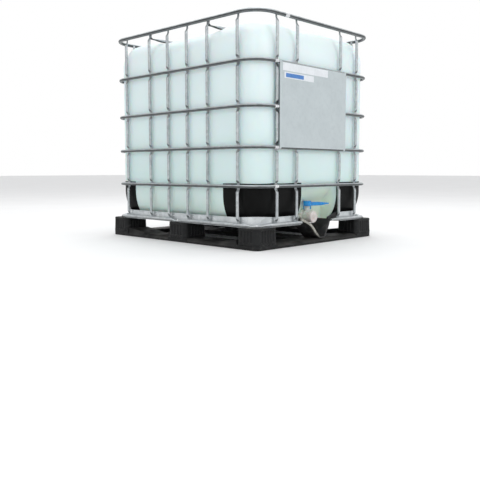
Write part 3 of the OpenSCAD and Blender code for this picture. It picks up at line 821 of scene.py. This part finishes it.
def make_crossbar(node):
    """A tube across the top, its ends flattened and turned up along the cage's bars."""
    low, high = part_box(node)
    y = (low.y + high.y) / 2
    r = 0.009
    axis_z = low.z + r
    tab = high.x - 0.002
    bend = 0.012
    frames = []
    for i in range(8):
        frames.append((Vector((-tab, y, mix(high.z, axis_z + bend, i / 8))), -EAST, NORTH))
    for i in range(9):
        a = math.radians(90 * i / 8)
        direction = Vector((-math.cos(a), 0, -math.sin(a)))
        frames.append((Vector((-tab + bend, y, axis_z + bend)) + direction * bend, direction, NORTH))
    left = list(frames)
    middle = [(Vector((x, y, axis_z)), -UP, NORTH)
              for x in np.linspace(-tab + bend + 0.02, tab - bend - 0.02, 40)]
    right = [(Vector((-p.x, p.y, p.z)), Vector((-o.x, o.y, o.z)), s) for p, o, s in reversed(left)]
    path = left + middle + right
    ring = circle(1.0, 22)

    def section(i):
        point = path[i][0]
        flat = 1 - smooth(tab - abs(point.x), 0.018, 0.075)
        thick, wide = mix(r, 0.0021, flat), mix(r, 0.0118, flat)
        return [(a * thick, b * wide) for a, b in ring]

    shape = Shape()
    shape.sweep(path, section)
    return place(shape.build(node + "_tube", bar_zinc, 50), ROOT, "galvanised_tube", node)


def screw_places():
    """Where the base hoop is screwed down: four corners, two long sides and the rear."""
    reach = HOOP_CORNER * (1 - math.cos(math.radians(45)))
    corners = [Vector((sx * (HOOP_X - reach), sy * (HOOP_Y - reach), BASE_Z)) for sx in (-1, 1)
               for sy in (-1, 1)]
    return corners + [Vector((-HOOP_X, 0, BASE_Z)), Vector((HOOP_X, 0, BASE_Z)), Vector((0, HOOP_Y, BASE_Z))]


def add_dome(shape, centre, axis, r, height):
    """A domed screw or rivet head with a small collar."""
    profile = [(0.0, -0.001), (r * 1.12, -0.001), (r * 1.12, height * 0.12)]
    profile += [(r * math.cos(math.radians(a)), height * (0.15 + 0.85 * math.sin(math.radians(a))))
                for a in range(0, 90, 12)]
    profile.append((0.0, height))
    shape.lathe(profile, centre, axis, 24)


def make_fasteners():
    screws = Shape()
    seat = BASE_Z - BASE_R + 2 * PRESSED_R
    for spot in screw_places():
        add_dome(screws, (spot.x, spot.y, seat), UP, 0.0068, 0.0062)
    place(screws.build("cage_screw_heads", bright_zinc), ROOT, "zinc_fastener", "cage_screws")

    tabs = Shape()
    low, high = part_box("crossbar_screws")
    for side in (-1, 1):
        for node in ("crossbar_front", "crossbar_rear"):
            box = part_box(node)
            add_dome(tabs, (side * (box[1].x - 0.0045), (box[0].y + box[1].y) / 2, (low.z + high.z) / 2),
                     -side * EAST, 0.0062, 0.0045)
    place(tabs.build("crossbar_screw_heads", bright_zinc), ROOT, "zinc_fastener", "crossbar_screws")

    rivets = Shape()
    offset, height = 0.022, 0.140
    for side in (-1, 1):
        for y in SIDE_BARS:
            add_dome(rivets, (side * TRAY_WALL_X, y - offset, height), side * EAST, 0.0042, 0.0028)
    for x in FRONT_BARS:
        if abs(x + offset) > 0.16:
            add_dome(rivets, (x + offset, -TRAY_WALL_Y, height), -NORTH, 0.0042, 0.0028)
    for x in REAR_BARS:
        add_dome(rivets, (x + offset, TRAY_WALL_Y, height), NORTH, 0.0042, 0.0028)
    place(rivets.build("tray_rivet_heads", bright_zinc), ROOT, "zinc_fastener", "tray_rivets")


# ------------------------------------------------------------------ tray

def make_tray():
    """Pressed steel tray: floor, a flange under the base hoop and an upright wall with a hem."""
    notch = (-0.150, 0.200)
    path = loop_path(TRAY_WALL_X, TRAY_WALL_Y, TRAY_WALL_CORNER, 0.0, notch, 0.02, 22)
    flange = 0.0182
    corner_extra = 0.021
    low, top = FOOT_TOP, TRAY_TOP
    floor_in = 0.030

    def section(i):
        _, out, _ = path[i]
        diagonal = min(1.0, abs(2 * out.x * out.y)) ** 1.5
        reach = flange + corner_extra * diagonal
        wall = top + 0.004 * diagonal
        hem = 0.0016
        lean = 0.0006 * math.sin(i * 0.7)
        return [(reach, low), (reach, low + SHEET), (0.004, low + SHEET), (0.0012, low + 0.0025),
                (lean, low + 0.006), (lean, wall - 0.006), (hem, wall - 0.005),
                (hem * 1.3, wall - 0.0025), (hem, wall), (-0.0002, wall), (-SHEET, wall - 0.0025),
                (-SHEET, low + 0.005), (-0.003, low + SHEET + 0.0008), (-floor_in, low + SHEET),
                (-floor_in, low)]

    shape = Shape()
    shape.sweep(path, section)
    place(shape.build("tray_wall", sheet_zinc, 35), ROOT, "galvanised_sheet", "base_tray")

    floor = Shape()
    xs = np.linspace(-TRAY_WALL_X + 0.026, TRAY_WALL_X - 0.026, 60)
    ys = np.linspace(-TRAY_WALL_Y + 0.026, TRAY_WALL_Y - 0.026, 72)

    def keep(x, y):
        corner = math.hypot(max(abs(x) - (TRAY_WALL_X - 0.15), 0), max(abs(y) - (TRAY_WALL_Y - 0.15), 0))
        return corner < 0.13 and not (notch[0] < x < notch[1] and y < -0.468)

    def rib(x, y):
        bead = max(0.0, 1 - abs(((y + 0.06) % 0.12) - 0.06) / 0.012)
        return -0.004 * bead * (1 - smooth(abs(x), 0.38, 0.42)) * (1 - smooth(abs(y), 0.46, 0.5))

    plate(floor, xs, ys, keep, lambda x, y: TRAY_FLOOR - 0.0001 + rib(x, y),
          lambda x, y: FOOT_TOP + 0.0002 + rib(x, y))
    place(floor.build("tray_floor", sheet_zinc, 35), ROOT, "galvanised_sheet")


def plate(shape, xs, ys, keep, top, bottom, bend=lambda x, y: (x, y)):
    """A solid over the cells of a grid whose middles keep() accepts, between two heights."""
    cells = {}
    for i in range(len(xs) - 1):
        for j in range(len(ys) - 1):
            cells[i, j] = keep((xs[i] + xs[i + 1]) / 2, (ys[j] + ys[j + 1]) / 2)
    index, verts, faces = {}, [], []

    def vertex(i, j, level):
        if (i, j, level) not in index:
            x, y = bend(xs[i], ys[j])
            index[i, j, level] = len(verts)
            verts.append((x, y, (top if level else bottom)(x, y)))
        return index[i, j, level]

    for (i, j), solid in cells.items():
        if not solid:
            continue
        loop = [(i, j), (i + 1, j), (i + 1, j + 1), (i, j + 1)]
        faces.append([vertex(*c, 1) for c in loop])
        faces.append([vertex(*c, 0) for c in reversed(loop)])
        for a, b, beside in ((0, 1, (i, j - 1)), (1, 2, (i + 1, j)), (2, 3, (i, j + 1)), (3, 0, (i - 1, j))):
            if not cells.get(beside, False):
                faces.append([vertex(*loop[a], 0), vertex(*loop[b], 0), vertex(*loop[b], 1),
                              vertex(*loop[a], 1)])
    shape.add(verts, faces)


# ------------------------------------------------------------------ pallet

FOOT_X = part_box("foot_front_left")[1].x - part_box("foot_front_left")[0].x
FOOT_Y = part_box("foot_front_left")[1].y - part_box("foot_front_left")[0].y
FOOT_R = 0.026
MID_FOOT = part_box("foot_mid_rear")[1].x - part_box("foot_mid_rear")[0].x


def make_runners():
    """The flat bottom frame, with sloping outer edges, ramps to the corner feet and low grip ribs."""
    inner_x, inner_y = HALF_X - FOOT_X, HALF_Y - FOOT_Y
    mid = FOOT_X / 2
    slope, ramp_start = 0.024, 0.300

    def lines(half, marks):
        base = set(np.round(np.linspace(-half, half, int(2 * half / 0.0125)), 4))
        base = {b for b in base if all(abs(abs(b) - m) > 0.004 for m in marks)}
        return sorted(base | set(marks) | {-m for m in marks})

    xs = lines(HALF_X, [mid, inner_x, HALF_X, HALF_X - slope, HALF_X - 0.006, inner_x + 0.005])
    ys = lines(HALF_Y, [inner_y, HALF_Y, HALF_Y - slope, HALF_Y - 0.006, MID_FOOT / 2, ramp_start,
                        inner_y + 0.005])

    def keep(x, y):
        return abs(y) > inner_y or abs(x) > inner_x or abs(x) < mid

    def top(x, y):
        ax, ay = abs(x), abs(y)
        height = RUNNER_TOP
        if ax > inner_x and ramp_start < ay <= inner_y + 1e-6:
            height += 0.022 * (ay - ramp_start) / (inner_y - ramp_start)
        edge_x = min(max((HALF_X - ax) / slope, 0), 1)
        edge_y = min(max((HALF_Y - ay) / slope, 0), 1)
        if MID_FOOT / 2 < ay < inner_y:
            height -= (height - 0.010) * (1 - edge_x)
        if ax < inner_x:
            height -= 0.012 * (1 - edge_y)
        on_runner = ax > inner_x + 0.004 or ay > inner_y + 0.004 or ax < mid
        if on_runner and height <= RUNNER_TOP + 1e-6:
            height -= 0.0014 * (0.5 + 0.5 * math.cos(2 * math.pi * (x if ay > inner_y else y) / 0.025))
        return height

    def round_corner(x, y):
        dx, dy = abs(x) - (HALF_X - FOOT_R), abs(y) - (HALF_Y - FOOT_R)
        if dx > 0 and dy > 0:
            pull = max(dx, dy) / math.hypot(dx, dy)
            x = math.copysign(HALF_X - FOOT_R + dx * pull, x)
            y = math.copysign(HALF_Y - FOOT_R + dy * pull, y)
        # a hair inside the CAD's edge, which leaves room for the rounded edges
        return x * 0.9986, y

    shape = Shape()
    plate(shape, xs, ys, keep, top, lambda x, y: 0.0, round_corner)
    obj = place(shape.build("runner_frame_body", pallet_black, 30), ROOT, "pallet_plastic", "runner_frame")
    return bevel(obj, 0.0022, 2, 50)


def make_foot(node):
    """A foot, closed below: drafted sides with upright flutes between a base band and a top band."""
    low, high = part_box(node)
    centre = (low + high) / 2
    half_x, half_y = (high.x - low.x) / 2, (high.y - low.y) / 2
    levels = [(0.0, -0.004, 0), (0.0, 0.0, 0), (0.004, 0.0, 0), (0.012, 0.0, 0), (0.014, -0.0005, 1),
              (0.05, -0.0014, 1), (0.070, -0.0018, 1), (0.072, -0.0014, 0), (0.0815, -0.0016, 0),
              (0.084, -0.004, 0)]
    shape = Shape()
    rows = []
    for z, inset, flute in levels:
        rows.append([Vector((centre.x + x, centre.y + y, low.z + z))
                     for x, y in foot_outline(half_x + inset, half_y + inset, flute)])
    shape.grid(rows, close_u=True)
    count = len(rows[0])
    shape.faces.append(list(range(count)))
    shape.faces.append([(len(rows) - 1) * count + i for i in range(count)])
    place(shape.build(node + "_body", pallet_black, 28), ROOT, "pallet_plastic", node)


def foot_outline(half_x, half_y, flute):
    """A rounded rectangle whose straight sides may carry shallow upright flutes."""
    points = []
    run_x, run_y = half_x - FOOT_R, half_y - FOOT_R
    depth = 0.0030 * flute
    sides = [((-run_x, -half_y), (run_x, -half_y), (0, 1), (run_x, -run_y), -90),
             ((half_x, -run_y), (half_x, run_y), (-1, 0), (run_x, run_y), 0),
             ((run_x, half_y), (-run_x, half_y), (0, -1), (-run_x, run_y), 90),
             ((-half_x, run_y), (-half_x, -run_y), (1, 0), (-run_x, -run_y), 180)]
    steps = 40
    for a, b, inward, centre, start in sides:
        length = math.dist(a, b)
        flutes = max(2, round(length / 0.022))
        for i in range(steps):
            t = i / steps
            phase = (t * flutes) % 1.0
            dip = depth * smooth(phase, 0.18, 0.28) * (1 - smooth(phase, 0.72, 0.82))
            points.append((mix(a[0], b[0], t) + inward[0] * dip, mix(a[1], b[1], t) + inward[1] * dip))
        points += arc(centre[0], centre[1], FOOT_R, start, 10)
    return points


LIP_LEFT = ((0.014, 0.032), (-0.015, 0.058), (-0.038, 0.082), (-0.060, 0.102), (-0.091, 0.119),
            (-0.120, 0.130), (-0.146, 0.140))
LIP_RIGHT = ((0.050, 0.032), (0.060, 0.057), (0.080, 0.093), (0.091, 0.126))
# behind these two places along Y the left lip, then both walls, are lower
LIP_STEP, WALL_STEP = -0.5405, -0.4905


def along_line(points, t):
    """A point on a smooth curve through the points, at a fraction t of their number."""
    place_on = min(max(t, 0), 1) * (len(points) - 1)
    i = min(int(place_on), len(points) - 2)
    before, a, b, after = (points[max(i - 1, 0)], points[i], points[i + 1],
                           points[min(i + 2, len(points) - 1)])
    u = place_on - i
    return tuple(0.5 * (2 * q + (r - p) * u + (2 * p - 5 * q + 4 * r - w) * u * u
                        + (3 * q - p - 3 * r + w) * u ** 3)
                 for p, q, r, w in zip(before, a, b, after))


def trough_walls(y):
    """The channel's inner line and outer line at a distance along Y, from the left lip to the right."""
    left_end = 1.0 if y < LIP_STEP else (0.60 if y < WALL_STEP else 0.47)
    right_end = 1.0 if y < WALL_STEP else 0.70
    inner = [along_line(LIP_LEFT, left_end * (1 - k / 30)) for k in range(31)]
    inner += [along_line(LIP_RIGHT, right_end * k / 18) for k in range(19)]
    outer = []
    for k, (x, z) in enumerate(inner):
        ahead, behind = inner[min(k + 1, len(inner) - 1)], inner[max(k - 1, 0)]
        along = Vector((ahead[0] - behind[0], ahead[1] - behind[1])).normalized()
        wall = mix(0.008, 0.0115, smooth(z, 0.034, 0.060))
        outer.append((x + along.y * wall, max(z - along.x * wall, RUNNER_TOP + 0.0002)))
    return inner, outer


def make_trough():
    """The black trough under the valve: its left lip sweeps out to the base hoop and is worn pale, with a
    painted highlight along it, and a wing closes the gap up to the right guard."""
    low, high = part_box("valve_trough")
    front, back = low.y + 0.0005, high.y
    stations = [front, front + 0.003, -0.580, -0.570, -0.560, -0.550, -0.541, -0.540, -0.525, -0.508, -0.491,
                -0.490, -0.484, back]
    rows = []
    for y in stations:
        inner, outer = trough_walls(y)
        rows.append([Vector((x, y, z)) for x, z in inner + outer[::-1]])
    shape = Shape()
    shape.grid(rows, close_u=True)
    count = len(rows[0])
    half = count // 2
    for row in (0, len(rows) - 1):
        base = row * count
        for k in range(half - 1):
            shape.faces.append([base + k, base + k + 1, base + count - 2 - k, base + count - 1 - k])
    end_wall = [(x, z) for x, z in trough_walls(back)[0] if z < 0.097]
    shape.sweep([(Vector((0, back - 0.0078, 0)), EAST, UP), (Vector((0, back - 0.0002, 0)), EAST, UP)],
                lambda i: end_wall)
    wing = [(0.088, 0.107), (0.103, 0.105), (0.130, 0.112), (0.158, 0.120), (0.183, 0.127), (0.183, 0.159),
            (0.166, 0.157), (0.142, 0.150), (0.120, 0.141), (0.095, 0.134)]
    shape.sweep([(Vector((0, y, 0)), EAST, UP) for y in (-0.5752, -0.5703)], lambda i: wing)
    obj = shape.build("valve_trough_channel", trough_black, 50)
    # mask of the pale lip: real wear and a painted highlight along the front left edge
    layer = obj.data.attributes.new("worn_highlit_lip", "FLOAT", "POINT")
    for i, vertex in enumerate(obj.data.vertices):
        p = vertex.co
        at_front = 1 - smooth(p.y, front + 0.001, front + 0.012)
        left = 1 - smooth(p.x, -0.03, 0.02)
        layer.data[i].value = at_front * left
    place(obj, ROOT, "pallet_plastic", "valve_trough")
    return bevel(obj, 0.0012, 2, 50)


# ------------------------------------------------------------------ label plate

def plate_bow(x, z):
    """Slight dents and bowing of the label plate, always inward, in metres."""
    dent = noise.noise(Vector((x * 7, z * 7, 1.7))) + 0.5 * noise.noise(Vector((x * 17, z * 15, 4.1)))
    edge = smooth(min(x - PLATE_LOW.x, PLATE_HIGH.x - x), 0.0, 0.03)
    return 0.0007 * max(0.0, dent) * edge


def make_plate():
    """A sheet in front of hoops 2, 3 and 4, with a hook at each corner over or under a hoop."""
    roll = HOOP_R + 0.0002
    thick = 0.001
    hook = 0.014
    top_z, bottom_z = HOOP_HEIGHTS[3], HOOP_HEIGHTS[1]
    shape = Shape()

    def shell(xs, profile):
        """A sheet of the plate's thickness over a profile of (forward, upward, height) points."""
        layers = []
        for radius in (roll, roll + thick):
            rows = []
            for forward, upward, z in profile:
                row = []
                for x in xs:
                    inside = smooth(min(top_z - z, z - bottom_z), 0.0, 0.03)
                    bow = plate_bow(x, z) * inside
                    if abs(z - HOOP_HEIGHTS[2]) < 0.02:
                        bow = min(bow, 0.0002)
                    row.append(Vector((x, -HOOP_Y - forward * radius + bow, z + upward * radius)))
                rows.append(row)
            layers.append(rows)
        shape.sheet(*layers)

    shell(np.linspace(PLATE_LOW.x, PLATE_HIGH.x, 56),
          [(1.0, 0.0, z) for z in np.linspace(top_z, bottom_z, 46)])
    turn = [math.radians(178 * i / 14) for i in range(15)]
    for left in (PLATE_LOW.x, PLATE_HIGH.x - hook):
        xs = np.linspace(left, left + hook, 4)
        shell(xs, [(math.cos(a), math.sin(a), top_z) for a in turn])
        shell(xs, [(math.cos(a), -math.sin(a), bottom_z) for a in turn])
    place(shape.build("label_plate_sheet", plate_zinc, 50), ROOT, "plate_steel", "label_plate")


def make_label(node, slot, material, columns, rows_count):
    """A film label that lies on the plate and follows its dents."""
    low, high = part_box(node)
    xs = np.linspace(low.x, high.x, columns)
    zs = np.linspace(low.z, high.z, rows_count)
    layers = []
    for y in (high.y, low.y):
        layers.append([[Vector((x, y + plate_bow(x, z) * smooth(HOOP_HEIGHTS[3] - z, 0.0, 0.03), z))
                        for x in xs] for z in zs])
    shape = Shape()
    shape.sheet(*layers)
    place(shape.build(node + "_film", material, 60), ROOT, slot, node)


# ------------------------------------------------------------------ lid and valve

def ribbed(count, depth, start, end):
    """A factor on the radius that cuts finger grips between two distances along the axis."""
    def factor(angle, distance):
        inside = smooth(distance, start, start + 0.002) * (1 - smooth(distance, end - 0.002, end))
        return 1 - depth * inside * (0.5 + 0.5 * math.cos(count * angle)) ** 2
    return factor


def make_lid():
    low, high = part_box("fill_cap")
    r = (high.x - low.x) / 2
    tall = high.z - low.z
    hole = 0.020
    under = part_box("fill_cap_seal")[1].z - low.z + 0.0001
    profile = [(0.078, under), (0.078, 0.0), (r - 0.003, 0.0), (r, 0.003), (r - 0.001, tall - 0.008),
               (r - 0.006, tall - 0.001), (r - 0.010, tall), (r - 0.018, tall), (r - 0.022, tall - 0.004),
               (0.046, tall - 0.004), (0.041, tall - 0.001), (0.036, tall), (hole, tall), (hole, under),
               (0.078, under)]
    shape = Shape()
    shape.lathe(profile, (0, 0, low.z), UP, 144, ribbed(24, 0.035, 0.002, tall - 0.004))
    place(shape.build("fill_lid_shell", lid_white, 32), "fill_lid", "cap_plastic", "fill_cap")

    low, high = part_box("vent_plug")
    tall = high.z - low.z
    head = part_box("vent_plug_seal")[1].z - low.z + 0.0001
    plug = Shape()
    threads = [(0.0194 if i % 2 else 0.0181, 0.001 + (head - 0.002) * i / 8) for i in range(9)]
    plug.lathe([(0.0, 0.0), (0.018, 0.0)] + threads + [(0.0194, head), (0.027, head), (0.027, tall - 0.002),
               (0.025, tall), (0.016, tall), (0.014, tall - 0.003), (0.0, tall - 0.003)],
               (0, 0, low.z), UP, 96, ribbed(16, 0.05, head, tall + 0.01))
    grip = [(-0.014, -0.0022), (0.014, -0.0022), (0.014, 0.0022), (-0.014, 0.0022)]
    plug.sweep([(Vector((0, 0, low.z + tall - 0.004)), EAST, NORTH),
                (Vector((0, 0, low.z + tall - 0.0005)), EAST, NORTH)],
               lambda i: grip)
    place(plug.build("vent_plug_head", lid_white, 32), "vent", "cap_plastic", "vent_plug")


def make_valve():
    body_low, body_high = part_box("valve_body")
    nut_low, nut_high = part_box("valve_nut")
    cap_low, cap_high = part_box("outlet_cap")
    face = -NORTH

    nut_r = (nut_high.x - nut_low.x) / 2
    nut_len = nut_high.y - nut_low.y
    nut = Shape()
    nut.lathe([(0.0292, 0.0), (nut_r - 0.004, 0.0), (nut_r - 0.001, 0.003), (nut_r, 0.006),
               (nut_r, nut_len - 0.006), (nut_r - 0.002, nut_len - 0.002), (nut_r - 0.006, nut_len),
               (0.0286, nut_len), (0.0286, nut_len - 0.002), (0.0312, nut_len - 0.002), (0.0312, 0.012),
               (0.0292, 0.010), (0.0292, 0.0)],
              (0, nut_high.y, VALVE_Z), face, 144, ribbed(12, 0.10, 0.001, nut_len - 0.001))
    place(nut.build("valve_nut_ring", valve_white, 32), ROOT, "valve_plastic", "valve_nut")

    length = body_high.y - body_low.y
    stem_at = body_high.y - STEM_Y
    bore = 0.023
    threads = [(0.0295 if i % 2 else 0.0281, length - 0.026 + 0.0028 * i) for i in range(9)]
    body = Shape()
    body.lathe([(bore, 0.0), (0.0305, 0.0), (0.031, 0.001), (0.031, 0.004), (0.0274, 0.0045),
                (0.0274, stem_at - 0.016), (0.0292, stem_at - 0.012), (0.031, stem_at - 0.008),
                (0.031, stem_at + 0.008), (0.0292, stem_at + 0.012), (0.0281, stem_at + 0.0135)] + threads
               + [(0.0281, length), (bore, length), (bore, 0.0)], (0, body_high.y, VALVE_Z), face, 72)
    boss_top = body_high.z
    boss_start = VALVE_Z + 0.026
    body.lathe([(0.0136, boss_start), (0.0128, boss_start + 0.006), (0.011, boss_start + 0.010),
                (0.0105, boss_top - 0.006), (0.011, boss_top - 0.004), (0.011, boss_top - 0.001),
                (0.0100, boss_top), (STEM_HOLE_R, boss_top), (STEM_HOLE_R, boss_start),
                (0.0136, boss_start)], (0, STEM_Y, 0), UP, 40)
    web = [(-0.0015, 0.0), (0.0015, 0.0), (0.0015, 0.010), (-0.0015, 0.010)]
    for x in (-1, 1):
        body.sweep([(Vector((x * 0.0105, STEM_Y, VALVE_Z + 0.022)), NORTH, x * EAST),
                    (Vector((x * 0.0102, STEM_Y, VALVE_Z + 0.044)), NORTH, x * EAST * 0.25)], lambda i: web)
    place(body.build("valve_body_shell", valve_white, 35), ROOT, "valve_plastic", "valve_body")

    cap_r = (cap_high.x - cap_low.x) / 2
    depth = cap_high.y - cap_low.y
    inside = cap_high.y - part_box("outlet_cap_seal")[0].y + 0.0001
    cap = Shape()
    cap.lathe([(0.0303, inside), (0.0303, 0.0), (cap_r - 0.002, 0.0), (cap_r - 0.0003, 0.002),
               (cap_r, depth - 0.006), (cap_r - 0.0015, depth - 0.002), (cap_r - 0.005, depth),
               (cap_r - 0.009, depth), (cap_r - 0.011, depth - 0.0018), (0.010, depth - 0.0018),
               (0.008, depth - 0.0006), (0.0, depth - 0.0004)],
              (0, cap_high.y, VALVE_Z), face, 144, ribbed(36, 0.035, 0.001, depth - 0.004))
    cap.lathe([(0.0303, inside), (0.0, inside)], (0, cap_high.y, VALVE_Z), face, 144)
    place(cap.build("dust_cap_shell", cap_pink, 32), "dust_cap", "outlet_cap_plastic", "outlet_cap")


def make_handle():
    """The blue lever: a hub with two stop tabs and a tapering blade with a raised rim."""
    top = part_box("valve_handle")[1].z
    hub_r = 0.022
    angle = math.radians(-17)
    along = Vector((math.cos(angle), math.sin(angle), 0))
    across = UP.cross(along)
    centre = Vector((0, STEM_Y, 0))
    reach = 0.145
    hub_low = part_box("valve_body")[1].z + 0.0003
    shape = Shape()
    shape.lathe([(STEM_HOLE_R, hub_low), (hub_r - 0.001, hub_low), (hub_r, hub_low + 0.001),
                 (hub_r, top - 0.003), (hub_r - 0.002, top - 0.0005), (hub_r - 0.004, top),
                 (STEM_HOLE_R, top), (STEM_HOLE_R, hub_low)], centre, UP, 48)
    blade_low, blade_top = 0.1972, 0.2168
    stations = [(0.006, 0.0107, 0.0), (0.022, 0.0105, 0.0001), (0.045, 0.0103, 0.0003),
                (0.088, 0.0098, 0.0010), (0.105, 0.0078, 0.0027), (0.120, 0.0058, 0.0044),
                (0.134, 0.0040, 0.0059), (0.142, 0.0030, 0.0067), (reach, 0.0020, 0.0070)]
    path = [(centre + along * d + UP * ((blade_low + blade_top) / 2), across, UP) for d, _, _ in stations]
    half_h = (blade_top - blade_low) / 2

    def section(i):
        _, half_w, taper = stations[i]
        h = half_h - taper
        e = 0.0014
        lip, well = min(0.0026, 0.5 * half_w), min(0.0034, 0.65 * half_w)
        dish = 0.0022 * (1 - taper / 0.0072)
        return [(-half_w + e, -h), (half_w - e, -h), (half_w, -h + e), (half_w, h - e), (half_w - e, h),
                (half_w - lip, h), (half_w - well, h - dish), (well - half_w, h - dish), (lip - half_w, h),
                (-half_w + e, h), (-half_w, h - e), (-half_w, -h + e)]

    shape.sweep(path, section)
    for degrees in (-50, 130):
        out = Vector((math.cos(math.radians(degrees)), math.sin(math.radians(degrees)), 0))
        side = UP.cross(out)
        tab = [(0.0152, -0.0049), (0.0214, -0.0049), (0.0214, 0.0049), (0.0152, 0.0049)]
        shape.sweep([(centre + UP * 0.1782, out, side * 0.8), (centre + UP * 0.1798, out, side),
                     (centre + UP * 0.199, out, side)], lambda i: tab)
    place(shape.build("valve_handle_lever", handle_blue, 32), LEVER, "handle_blue", "valve_handle")

    low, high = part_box("handle_screw")
    screw = Shape()
    r = (high.x - low.x) / 2
    head = high.z - 0.0035
    screw.lathe([(0.0, head), (r, head), (r, head + 0.0015), (r - 0.001, head + 0.003),
                 (r - 0.0025, high.z), (0.0028, high.z), (0.0024, high.z - 0.0016),
                 (0.0, high.z - 0.0018)], centre, UP, 36)
    place(screw.build("handle_screw_head", bright_zinc, 35), LEVER, "zinc_fastener", "handle_screw")


# ------------------------------------------------------------------ stage

def make_camera():
    data = bpy.data.cameras.new("camera")
    camera = bpy.data.objects.new("camera", data)
    bpy.context.scene.collection.objects.link(camera)
    # solved from the pallet's corners and the crossings of hoops and bars in the photo
    data.sensor_width = 36.0
    data.lens = 46.51
    data.shift_x = -0.0228
    data.shift_y = -0.0319
    data.clip_end = 200
    heading, pitch = math.radians(46.51), math.radians(-5.016)
    forward = Vector((math.sin(heading) * math.cos(pitch), math.cos(heading) * math.cos(pitch),
                      math.sin(pitch)))
    camera.location = (-2.6624, -2.6116, 0.3897)
    camera.rotation_mode = "QUATERNION"
    camera.rotation_quaternion = forward.to_track_quat("-Z", "Y")
    bpy.context.scene.camera = camera


def add_light(name, place_at, target, size, power, colour=(1, 1, 1)):
    data = bpy.data.lights.new(name, "AREA")
    data.shape = "RECTANGLE"
    data.size, data.size_y = size
    data.energy = power
    data.color = colour
    light = bpy.data.objects.new(name, data)
    light.location = place_at
    light.rotation_mode = "QUATERNION"
    light.rotation_quaternion = (Vector(target) - Vector(place_at)).to_track_quat("-Z", "Y")
    bpy.context.scene.collection.objects.link(light)


def make_stage():
    floor_mesh = bpy.data.meshes.new("floor")
    size = 40.0
    floor_mesh.from_pydata([(-size, -size, 0), (size, -size, 0), (size, size, 0), (-size, size, 0)], [],
                           [(0, 1, 2, 3)])
    floor = bpy.data.objects.new("floor", floor_mesh)
    bpy.context.scene.collection.objects.link(floor)
    f = Finish("floor")
    f.colour(f.ramp(f.noise(1.5, 3.0), (0.3, (0.86, 0.86, 0.86)), (0.7, (0.89, 0.89, 0.89))))
    f.rough(0.7, 0.85, 4.0)
    floor_mesh.materials.append(f.material)

    world = bpy.data.worlds.new("studio")
    bpy.context.scene.world = world
    world.use_nodes = True
    tree = world.node_tree
    background = tree.nodes["Background"]
    coordinates = tree.nodes.new("ShaderNodeTexCoord")
    split = tree.nodes.new("ShaderNodeSeparateXYZ")
    tree.links.new(coordinates.outputs["Generated"], split.inputs["Vector"])
    room = tree.nodes.new("ShaderNodeValToRGB")
    stops = ((0.0, 0.72), (0.18, 0.50), (0.42, 0.42), (0.75, 0.80), (1.0, 0.9))
    while len(room.color_ramp.elements) < len(stops):
        room.color_ramp.elements.new(0.5)
    for element, (where, value) in zip(room.color_ramp.elements, stops):
        element.position, element.color = where, (value, value * 1.01, value * 1.03, 1)
    tree.links.new(split.outputs["Z"], room.inputs["Fac"])
    behind = tree.nodes.new("ShaderNodeVectorMath")
    behind.operation = "DOT_PRODUCT"
    behind.inputs[1].default_value = (0.725, 0.688, 0.0)
    tree.links.new(coordinates.outputs["Generated"], behind.inputs[0])
    spread = tree.nodes.new("ShaderNodeMapRange")
    spread.interpolation_type = "SMOOTHSTEP"
    spread.inputs["From Min"].default_value = -0.05
    spread.inputs["From Max"].default_value = 0.5
    tree.links.new(behind.outputs["Value"], spread.inputs["Value"])
    backdrop = tree.nodes.new("ShaderNodeMix")
    backdrop.data_type = "RGBA"
    backdrop.inputs[7].default_value = (1.0, 1.0, 1.0, 1)
    tree.links.new(spread.outputs["Result"], backdrop.inputs[0])
    tree.links.new(room.outputs["Color"], backdrop.inputs[6])
    tree.links.new(backdrop.outputs[2], background.inputs["Color"])

    middle = (0, 0, 0.6)
    add_light("key", (-5.2, -2.6, 3.6), middle, (4.5, 4.0), 86, (1.0, 0.995, 0.98))
    add_light("fill", (1.0, -5.4, 3.2), middle, (4.5, 3.6), 73, (0.98, 0.99, 1.0))
    add_light("top", (0.6, 1.0, 5.2), middle, (5.0, 5.0), 110)
    bpy.context.scene.view_settings.view_transform = "Standard"


# ------------------------------------------------------------------ build

make_camera()
make_bottle()
for guard_name, sx, sy in (("guard_front_left", -1, -1), ("guard_front_right", 1, -1),
                           ("guard_rear_left", -1, 1), ("guard_rear_right", 1, 1)):
    make_guard(guard_name, sx, sy)
for hoop_node, hoop_height in zip(HOOP_NODES, HOOP_HEIGHTS):
    make_hoop(hoop_node, HOOP_R, hoop_height)
make_hoop("top_rim", RIM_R, RIM_Z)
make_base_hoop()
make_bars()
make_joints()
make_crossbar("crossbar_front")
make_crossbar("crossbar_rear")
make_fasteners()
make_tray()
make_runners()
for foot_node in ("foot_front_left", "foot_front_right", "foot_rear_left", "foot_rear_right", "foot_mid_left",
                  "foot_mid_right", "foot_mid_rear", "foot_centre"):
    make_foot(foot_node)
make_trough()
make_plate()
make_label("label_upper", "label_white", film_white, 48, 8)
make_label("label_lower", "label_white", film_white, 32, 6)
make_label("label_bar", "label_blue", film_blue, 20, 5)
make_lid()
make_valve()
make_handle()

carried_over = {"fill_cap_seal": rubber, "vent_plug_seal": rubber, "valve_gasket": rubber,
                "valve_seat": rubber,
                "stem_seal": rubber, "outlet_cap_seal": rubber, "valve_disc": valve_white,
                "valve_stem": valve_white}
for node_name, finish in carried_over.items():
    for material_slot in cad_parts[node_name].material_slots:
        material_slot.material = finish

make_stage()
